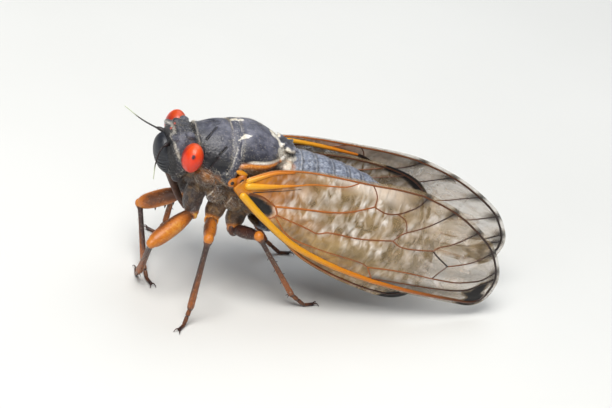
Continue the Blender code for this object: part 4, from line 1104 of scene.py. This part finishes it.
def make_skin(material):
    shapes = [
        trunk_part(HEAD, 24, square=HEAD_SQUARE),
        trunk_part(PRONOTUM, 24, lowest=PRONOTUM_UNDER),
        trunk_part(MESONOTUM, 40, lowest=MESONOTUM_UNDER),
        trunk_part(THORAX, 40, highest=THORAX_ROOF, floor=STERNUM),
        abdomen_part(),
        trunk_part(TAIL, 10),
        ball(SCUTELLUM_CENTRE, SCUTELLUM_HALF),
    ]
    for side in (-1.0, 1.0):
        centre = np.array(SCUTELLUM_CENTRE) + [0.0, 0.0, SCUTELLUM_ARM_RISE]
        shapes.append(ball(centre, SCUTELLUM_ARM, 12, 24, side * SCUTELLUM_SPREAD))
        for centre, half in LOBES:
            shapes.append(ball(np.array(centre) * (1.0, side, 1.0), half, 20, 32))
    for leg in LEGS.values():
        path, radii = coxa_path(leg)
        shapes.append(tube(path, radii, LEG_SIDES))
    skin, normals = fuse(shapes, SKIN_VOXEL)
    coat = skin_coat(skin)
    skin.values = coat.values
    skin.points = skin.points + normals * coat.rise[:, None]
    roots = skin.points.copy()
    nodes = ["head", "pronotum", "mesonotum", "scutellum", "thorax", "abdomen", "tail_tip"]
    nodes += [f"{name}_coxa" for name in LEGS]
    piece("body_skin", skin, material, nodes)
    return roots, normals


# Hairs

def needle(root, way, side, length, radius):
    """A three-sided bristle that bends a little towards its side."""
    other = np.cross(way, side)
    rings = []
    for share, thick in ((-0.08, 1.0), (0.5, 0.75), (1.0, 0.12)):
        centre = root + way * length * share + side * length * 0.25 * share**2
        rings.append([centre + radius * thick * (math.cos(a) * side + math.sin(a) * other)
                      for a in NEEDLE_ANGLES])
    return rings


def unwrap(points):
    """Each body point's place on the flattened skin, from nose to tail and round the body."""
    back, left, up = np.asarray(points).T
    return np.stack([(back + 4.0) / 34.0, 0.5 + np.arctan2(left, up + 1.0) / (2.0 * math.pi)], axis=1)


def tufts(name, material, roots, normals, spots, length, radius, lean, random, on_body):
    """Solid bristles at these roots, each with its own patch of the flattened skin."""
    points, faces, places = [], [], []
    for number, (root, normal, spot) in enumerate(zip(roots, normals, spots)):
        way = unit(normal * (1.0 - abs(lean[0])) + np.asarray(lean) + random.normal(0.0, 0.16, 3))
        across = unit(np.cross(way, random.normal(0.0, 1.0, 3)))
        for ring in needle(root, way, across, length * random.uniform(0.6, 1.3), radius):
            points += ring
        start = number * 9
        for row in (start, start + 3):
            for i, j in ((0, 1), (1, 2), (2, 0)):
                faces.append((row + i, row + j, row + 3 + j, row + 3 + i))
        faces += [(start + 2, start + 1, start), (start + 6, start + 7, start + 8)]
        for ring in range(3):
            reach = HAIR_PATCH * (0.4 + 0.1 * ring)
            places += [spot + reach * np.array([math.cos(a), math.sin(a)]) for a in NEEDLE_ANGLES]
    obj = piece(name, Shape(points, faces), material, on_body=on_body)
    layer = obj.data.uv_layers.new(name="OFBake")
    corners = np.zeros(len(obj.data.loops), np.int32)
    obj.data.loops.foreach_get("vertex_index", corners)
    layer.data.foreach_set("uv", np.array(places, np.float32)[corners].ravel())


def zone_weight(zone, back, side, up):
    """How densely hairs grow at each point: along lines, or evenly in a box of ranges."""
    if zone == "neck line":
        line = bell(neck_gap(back, side) + 0.25, 0.18) * (up > 0.5) * (side < 3.0)
        return line + 0.12 * (back < -0.3) * (up > 0.3)
    if zone == "collar lines":
        front, rear = (back - place - COLLAR_BOW * side**2 for place in (3.30, 4.30))
        return bell(front, 0.14) * (up > 0.0) + 0.8 * bell(rear, 0.12) * (up > 1.0)
    weight = np.ones(len(back))
    for value, (low, high) in zip((back, side, up), zone):
        weight *= (value > low) & (value < high)
    return weight


def make_hairs(material, roots, normals):
    """Short solid bristles over the skin's downy zones, one piece for each zone."""
    random = np.random.default_rng(SEED)
    back, left, up = roots.T
    for name, slot, count, length, radius, lean, zone in HAIR_ZONES:
        weight = zone_weight(zone, back, np.abs(left), up)
        chosen = random.choice(len(back), count, p=weight / weight.sum())
        tufts(name, material, roots[chosen], normals[chosen], unwrap(roots[chosen]), length, radius,
              (lean, 0.0, -0.1), random, True)


def make_leg_hairs(name, material, start, end, shares, radii, random):
    """Bristles round one limb of these radii at these shares of it, lying towards its end."""
    axis = unit(end - start)
    side = unit(np.cross(axis, (0.0, 0.0, 1.0)))
    places = random.uniform(0.08, 0.97, LEG_HAIRS)
    angles = random.uniform(0.0, 2.0 * math.pi, LEG_HAIRS)
    normals = np.outer(np.cos(angles), side) + np.outer(np.sin(angles), np.cross(axis, side))
    out = normals * np.interp(places, shares, radii)[:, None]
    roots = start + np.outer(places, end - start) + out
    spots = np.stack([places, angles / (2.0 * math.pi)], axis=1)
    tufts(name, material, roots, normals, spots, LEG_HAIR_LENGTH, LEG_HAIR_RADIUS, 0.6 * axis,
          random, False)


# Head pieces

def make_clypeus(material):
    """The swollen half oval of the face, with grooves that run across it and fade at its middle line."""
    length, half_width, depth = CLYPEUS_HALF
    angle = np.linspace(-0.12, 1.12, CLYPEUS_SIDES) * math.pi
    fade = np.abs(np.sin(2.0 * np.clip(angle, 0.0, math.pi)))
    rings = []
    for share in np.arange(1, CLYPEUS_ROWS) / CLYPEUS_ROWS:
        phase = math.pi * (share - 0.5)
        swell = math.cos(phase)
        groove = CLYPEUS_GROOVE * swell * max(0.0, math.cos(2 * math.pi * CLYPEUS_GROOVES * share))
        sunk = swell * (1.0 - groove * smoothstep(*GROOVES_START, share) * fade)
        x = np.full(len(angle), length * math.sin(phase))
        ring = np.stack([x, -half_width * sunk * np.cos(angle), -depth * sunk * np.sin(angle)], axis=1)
        rings.append(turned(ring, -CLYPEUS_TILT, 0, 2) + CLYPEUS_CENTRE)
    piece("clypeus_plate", loft(rings), material, ["clypeus"])


def make_eyes(material):
    for name, place in EYES.items():
        side = math.copysign(1.0, place[1])
        eye = ball((0.0, 0.0, 0.0), EYE_HALF, 48, 64)
        way = eye.points / EYE_HALF
        pupil = unit(np.array(PUPIL_WAY)) * (1.0, side, 1.0)
        eye.values = {
            "rim": smoothstep(0.25, 0.0, side * way[:, 1]),
            # Painted highlight: the eye's upper half is painted a lighter red
            "painted_top_light": 0.55 * smoothstep(0.2, 1.0, way[:, 2]),
            "spot": smoothstep(0.20, 0.13, np.linalg.norm(way - pupil, axis=1)),
        }
        eye.points = turned(eye.points, EYE_TILT, 0, 2) + place
        piece(f"eye_{name}_globe", eye, material, [f"eye_{name}"])


def make_ocelli(material):
    shapes = [ball(centre, (OCELLUS_RADIUS,) * 3, 12, 16) for centre in OCELLI]
    piece("ocelli", join(shapes), material)


def make_antennae(material):
    for name, points in ANTENNAE.items():
        path = smooth_path(points, 0.12)
        radii, tones, pale = (along_path(path, *profile)
                              for profile in (ANTENNA_RADII, ANTENNA_TONES, ANTENNA_PALE))
        feeler = tube(path, radii, 12, tone=tones, pale=pale)
        piece(f"feeler_{name}", feeler, material, [f"antenna_{name}"])


def make_rostrum(material):
    path = smooth_path(ROSTRUM, 0.2)
    beak = tube(path, along_path(path, *ROSTRUM_RADII), 20)
    piece("beak", beak, material, ["rostrum"])


# Wings

class WingSurface:
    """The curved middle surface of one wing."""

    def __init__(self, side, inset):
        hinge, angles = WINGS[side]
        yaw, pitch, roll = (math.radians(angle) for angle in angles)
        self.mirror = 1.0 if side == "left" else -1.0
        self.hinge = np.array(hinge)
        self.inset = inset
        self.along = turned(turned((1.0, 0.0, 0.0), pitch, 0, 2), yaw, 0, 1)[0]
        inward = square_to(self.along, turned((0.0, -1.0, 0.0), yaw, 0, 1)[0])
        upward = np.cross(self.along, inward)
        upward *= np.sign(upward[2])
        self.across = math.cos(roll) * inward + math.sin(roll) * upward
        self.outward = np.cross(self.across, self.along)
        self.outward *= np.sign(self.outward[1])

    def middle(self, flat):
        along, across = flat.T
        share = along / WING_LENGTH
        bulge = WING_BOW * 4 * share * (1 - share) - WING_CAMBER * across**2 - self.inset
        return (self.hinge + np.outer(along, self.along) + np.outer(across, self.across)
                + np.outer(bulge, self.outward))

    def place(self, flat, lift):
        """Body points this far outside the middle surface, or inside it if negative."""
        flat = np.atleast_2d(np.asarray(flat, float))
        centre = self.middle(flat)
        normal = np.cross(self.middle(flat + [0.0, 0.05]) - centre,
                          self.middle(flat + [0.05, 0.0]) - centre)
        normal /= np.linalg.norm(normal, axis=1)[:, None]
        normal *= np.sign(normal @ self.outward)[:, None]
        return (centre + np.broadcast_to(lift, len(flat))[:, None] * normal) * (1.0, self.mirror, 1.0)


def rim_path(outline, first, last, insets):
    """The outline's points from first to last, each moved inwards by insets that change evenly."""
    moved = []
    for i, inset in zip(range(first, last + 1), np.linspace(*insets, last - first + 1)):
        before, here, after = (np.array(outline[j % len(outline)]) for j in (i - 1, i, i + 1))
        run = unit(after - before)
        moved.append(here + inset * np.array([-run[1], run[0]]))
    return moved


def all_veins(outline, rims, veins):
    """Every vein of a wing as (radii, tones, flat path), the rim's first."""
    found = []
    for first, last, insets, radii, tones in rims:
        path = smooth_path(rim_path(outline, first, last, insets), RIM_STEP)
        found.append((np.linspace(*radii, len(path)), np.linspace(*tones, len(path)), path))
    for thick, thin, tone, end_tone, points in veins:
        path = smooth_path(points, VEIN_STEP)
        found.append((np.linspace(thick, thin, len(path)), np.linspace(tone, end_tone, len(path)), path))
    return found


def film_values(flat, outline, veins, rim_count, marks, band):
    """The film's colours, with the strength of its painted glints and painted sheen, as values at each flat
    point.
    """
    along, across = flat.T
    near = path_distance(flat, closed(outline))
    nearest = np.min([path_distance(flat, path) for _, _, path in veins], axis=0)
    amber = np.clip(np.max([
        smoothstep(*ROOT_AMBER, along),
        0.95 * smoothstep(-2.2, -3.9, across) * smoothstep(24.0, 7.0, along),
        0.75 * smoothstep(0.6, -1.4, across) * smoothstep(15.0, 5.0, along),
        0.45 * smoothstep(0.55, 0.1, nearest) * smoothstep(26.0, 10.0, along),
    ], axis=0), 0.0, 1.0)
    smoke = np.zeros(len(flat))
    for _, tones, path in veins[rim_count:]:
        if tones[-1] > SMOKY_TONE:
            smoke = np.maximum(smoke, smoothstep(1.0, 0.15, path_distance(flat, path)))
    black = np.zeros(len(flat))
    for mark in marks:
        gap = path_distance(flat, closed(mark)) * np.where(inside(flat, np.array(mark)), 1.0, -1.0)
        black = np.maximum(black, smoothstep(-0.25, 0.1, gap))
    if band:
        black = np.maximum(black, smoothstep(1.5 * BAND_HALF, 0.7 * BAND_HALF, path_distance(flat, band)))
    tip = smoothstep(*TIP_EDGE, along)
    root = smoothstep(*ROOT_EDGE, along)
    inner = 1.0 - smoothstep(0.5, 0.1, near) * smoothstep(-1.0, 1.0, across)
    olive = smoothstep(-0.9, -2.5, across) * between(along, 3.6, 5.2, 12.0, 27.0)
    # How strong the painted glints are
    glint_strength = (1.0 - 0.55 * olive) * (0.95 - 0.12 * tip) * inner * (1.0 - root) * (1.0 - 0.6 * amber)
    return {
        "amber": amber * inner,
        "smoke": 0.95 * smoke * smoothstep(2.2, 0.4, near),
        "black": black,
        "body": (0.50 - 0.36 * tip + 0.5 * root) * (0.25 + 0.75 * inner),
        "olive": olive,
        "glint_strength": glint_strength,
        "along": along,
        "across": across,
        # Painted reflection along the inner margin
        "painted_sheen": smoothstep(3.4, 5.0, across) * between(along, 7.0, 10.0, 16.0, 21.0) * inner,
        "gold": 0.9 * root * (1.0 - black),
    }


def membrane(surface, outline, veins, rim_count, marks, band):
    """A thin closed film on a grid of even triangles, which swells between the veins."""
    rim = smooth_path(closed(outline), VEIN_STEP)[:-1]
    low, high = rim.min(axis=0), rim.max(axis=0)
    rows = np.arange(low[1], high[1], MEMBRANE_STEP * GRID_ROW)
    grid = np.array([(x + (k % 2) * MEMBRANE_STEP / 2, y) for k, y in enumerate(rows)
                     for x in np.arange(low[0], high[0], MEMBRANE_STEP)])
    grid = grid[inside(grid, rim)]
    grid = grid[path_distance(grid, closed(rim)) > MEMBRANE_STEP * 0.45]
    edges = [(i, (i + 1) % len(rim)) for i in range(len(rim))]
    points = [Vector(point) for point in (*rim, *grid)]
    vertices, _, triangles, *_ = delaunay_2d_cdt(points, edges, [], 1, 1e-4)
    flat = np.array([tuple(v) for v in vertices])
    count = len(flat)
    nearest = np.min([path_distance(flat, path) for _, _, path in veins], axis=0)
    swell = MEMBRANE_SWELL * smoothstep(0.0, MEMBRANE_SWELL_REACH, nearest)
    half = MEMBRANE_THICKNESS / 2
    sheets = np.concatenate([surface.place(flat, swell + half), surface.place(flat, swell - half)])
    faces = [tuple(face) for face in triangles]
    faces += [tuple(i + count for i in reversed(face)) for face in triangles]
    faces += [(b, a, a + count, b + count) for a, b in edges]
    values = film_values(flat, outline, veins, rim_count, marks, band)
    return Shape(sheets, faces, **{name: np.tile(v, 2) for name, v in values.items()})


def fold_tubes(surface, folds):
    """Thickened folds on the inner side of a wing."""
    shapes = []
    for radii, tones, points in folds:
        path = smooth_path(points, VEIN_STEP)
        shares = np.linspace(0.0, 1.0, len(radii))
        shapes.append(tube(surface.place(path, FOLD_LIFT), along_path(path, shares, radii), 12,
                           tone=along_path(path, shares, tones)))
    return shapes


def make_wings(film, vein):
    kinds = (
        ("forewing", 0.0, FOREWING_OUTLINE, FOREWING_RIMS, FOREWING_VEINS, (*APEX_MARKS, BASE_MARK),
         None, FOLDS),
        ("hindwing", HINDWING_INSET, HINDWING_OUTLINE, HINDWING_RIMS, HINDWING_VEINS, (HINDWING_MARK,),
         HINDWING_BAND, ()),
    )
    for side, sign in (("left", 1.0), ("right", -1.0)):
        shift = np.array(WINGS[side][0]) - WINGS["left"][0]
        shapes = [ball((np.array(centre) + shift) * (1.0, sign, 1.0), half, 20, 28, tone=tone)
                  for centre, half, tone in WING_ROOT]
        piece(f"forewing_{side}_root", join(shapes), vein)
        for kind, inset, outline, rims, veins, marks, band, folds in kinds:
            surface = WingSurface(side, inset)
            veins = all_veins(outline, rims, veins)
            shape = membrane(surface, outline, veins, len(rims), marks, band)
            piece(f"{kind}_{side}_film", shape, film, [f"{kind}_{side}"])
            tubes = [tube(surface.place(path, 0.0), radii, 10, tone=tones) for radii, tones, path in veins]
            tubes += fold_tubes(surface, folds)
            piece(f"{kind}_{side}_veins", join(tubes), vein)


# Legs

def spindle(start, end, shares, radii, tones, count, streak=0.0, ridges=0.0, shade=(0.0, 0.0, 1.0)):
    """A straight limb whose radius and tone follow these numbers, with a dark streak of painted shade down
    one side and ridges along it.
    """
    places, thick, tone = smooth_rows(np.stack([shares, radii, tones], axis=1), 60).T
    path = start + (end - start) * np.linspace(0.0, 1.0, count)[:, None]
    limb = tube(path, along_path(path, places, thick), LEG_SIDES, tone=along_path(path, places, tone))
    axis = unit(end - start)
    away = limb.points - start
    along = away @ axis
    away -= np.outer(along, axis)
    upper = square_to(axis, np.asarray(shade, float))
    angle = np.arctan2(away @ np.cross(axis, upper), away @ upper)
    share = along / np.linalg.norm(end - start)
    # Painted shade: darker on the side of the limb that faces the shade way
    dark = smoothstep(1.45, 0.35, np.abs(angle)) * between(share, 0.05, 0.35, 0.65, 0.98)
    limb.values["tone"] = np.clip(limb.values["tone"] - streak * dark, 0.0, 1.0)
    limb.points = limb.points + away * (ridges * np.cos(4.0 * angle))[:, None]
    return limb


def spines(start, end, out, places, length, thick, signs=(0.0,)):
    """Short spines at (share along, distance out) places, turned to one or both sides by the signs."""
    axis = unit(end - start)
    out = square_to(axis, out)
    shapes = []
    for share, reach in places:
        root = start + (end - start) * share + out * reach
        for sign in signs:
            way = length * unit(out + 0.55 * axis + 0.6 * sign * np.cross(axis, out))
            shapes.append(tube([root - 0.4 * way, root + 0.5 * way, root + way],
                               (1.3 * thick, 0.8 * thick, 0.2 * thick), 8, tone=0.12))
    return shapes


def make_claws(name, material, toe, flat):
    """Two claws that curve down from the foot's end to the floor."""
    claws = []
    ground = toe * (1.0, 1.0, 0.0)
    for turn in (-CLAW_SPREAD, CLAW_SPREAD):
        outward = turned(flat, turn, 0, 1)[0]
        points = [toe - 0.15 * outward]
        points += [ground + reach * outward + [0.0, 0.0, height] for reach, height in CLAW_CURVE]
        path = smooth_path(points, 0.08)
        claws.append(tube(path, np.linspace(*CLAW_RADII, len(path)), 10))
    piece(f"{name}_claws", join(claws), material, on_body=False)


def make_leg(name, leg, skin, horn, hair, random):
    """Trochanter, femur, tibia and tarsus in one piece, with the claws and the bristles in others."""
    joint, knee = body_to_world([leg["trochanter"], leg["knee"]])
    toe = floor_point(*leg["foot"], SOLE_HEIGHT)
    flat = unit((toe - knee) * (1.0, 1.0, 0.0))
    heel = toe - flat * SOLE_LENGTH
    rise = unit(unit(knee - heel) * (1 - ANKLE_LEAN) - flat * ANKLE_LEAN)
    ankle = heel + rise * (leg["tarsus"] - SOLE_LENGTH)
    middle = ankle + 0.45 * (heel - ankle)
    thigh = unit(knee - joint)
    shin, tone, ring = leg["shin"], leg["tone"], leg["ring"]
    # The side of thigh and shin that is darkened with painted shade, mirrored for a right leg
    shade = leg["shade"] * np.array([1.0, 1.0 if name.endswith("left") else -1.0, 1.0])
    shapes = [
        spindle(joint - 0.2 * thigh, joint + 0.48 * thigh, (0.0, 0.3, 0.7, 1.0), (0.60, 0.78, 0.74, 0.50),
                (0.3, ring, ring, 0.2), 16),
        spindle(joint, knee, THIGH_SHARES, (THIGH_END, *leg["thigh"], 0.54),
                (0.10, 0.5 * tone, tone, tone, 0.92 * tone, KNEE_TONE), 48, 0.50 * tone, shade=shade),
        ball(knee, (KNEE_RADIUS,) * 3, 16, 24, tone=KNEE_TONE),
        spindle(knee, ankle, SHIN_SHARES, (0.44, 0.42, 0.29, 0.85 * shin, shin, 0.8 * shin), SHIN_TONES,
                56, 0.22, 0.10, shade=shade),
    ]
    for profile, start, end in zip(TARSUS_PARTS, (ankle, middle, heel), (middle, heel, toe)):
        shapes.append(spindle(start, end, *profile))
    if name.startswith("front"):
        shapes += spines(joint, knee, np.array([0.0, 0.0, -1.0]), *THIGH_SPINES)
    for way, *row in SHIN_SPINES:
        shapes += spines(knee, ankle, way * flat, *row)
    nodes = [f"{name}_{part}" for part in ("femur", "tibia", "tarsus")]
    piece(f"{name}_leg", join(shapes), skin, nodes, on_body=False)
    make_claws(name, horn, toe, flat)
    make_leg_hairs(f"hairs_{name}_femur", hair, joint, knee, THIGH_SHARES,
                   (THIGH_END, *leg["thigh"], THIGH_END), random)
    make_leg_hairs(f"hairs_{name}_tibia", hair, knee, ankle, (0.0, 0.14, 1.0), (0.38, 0.29, shin), random)


# Studio

def make_studio():
    bpy.ops.mesh.primitive_plane_add(size=3.0, location=(0.0, 0.0, 0.0))
    floor = bpy.context.object
    floor.name = "studio_floor"
    floor.data.materials.append(floor_material())
    world = bpy.data.worlds.new("studio")
    bpy.context.scene.world = world
    world.use_nodes = True
    background = world.node_tree.nodes["Background"]
    background.inputs["Color"].default_value = (*SKY_COLOUR, 1.0)
    background.inputs["Strength"].default_value = SKY_STRENGTH
    for name, place, size, power, colour in LAMPS:
        light = bpy.data.lights.new(name, "AREA")
        light.size = size
        light.energy = power
        light.color = colour
        lamp = add_object(name, light)
        lamp.location = place
        lamp.rotation_euler = (-Vector(place)).to_track_quat("-Z", "Y").to_euler()


def make_camera():
    data = bpy.data.cameras.new("photo_camera")
    data.lens = CAMERA_LENS
    data.sensor_width = 36.0
    data.clip_start = 0.01
    camera = add_object("photo_camera", data)
    camera.location = CAMERA_PLACE
    camera.rotation_euler = [math.radians(angle) for angle in CAMERA_TURN]
    bpy.context.scene.camera = camera


def main():
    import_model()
    bpy.context.scene.view_settings.view_transform = "Standard"
    make_camera()
    make_studio()
    roots, normals = make_skin(skin_material())
    hair = hair_material()
    make_hairs(hair, roots, normals)
    make_clypeus(horn_material("cicada_horn", HORN))
    make_eyes(eye_material())
    make_ocelli(ocellus_material())
    leg_skin = leg_material()
    make_antennae(leg_skin)
    make_rostrum(horn_material("cicada_beak", BEAK_HORN))
    make_wings(membrane_material(), vein_material())
    claw = horn_material("cicada_claw", CLAW_HORN)
    random = np.random.default_rng(SEED + 1)
    for name, leg in LEGS.items():
        make_leg(name, leg, leg_skin, claw, hair, random)


main()
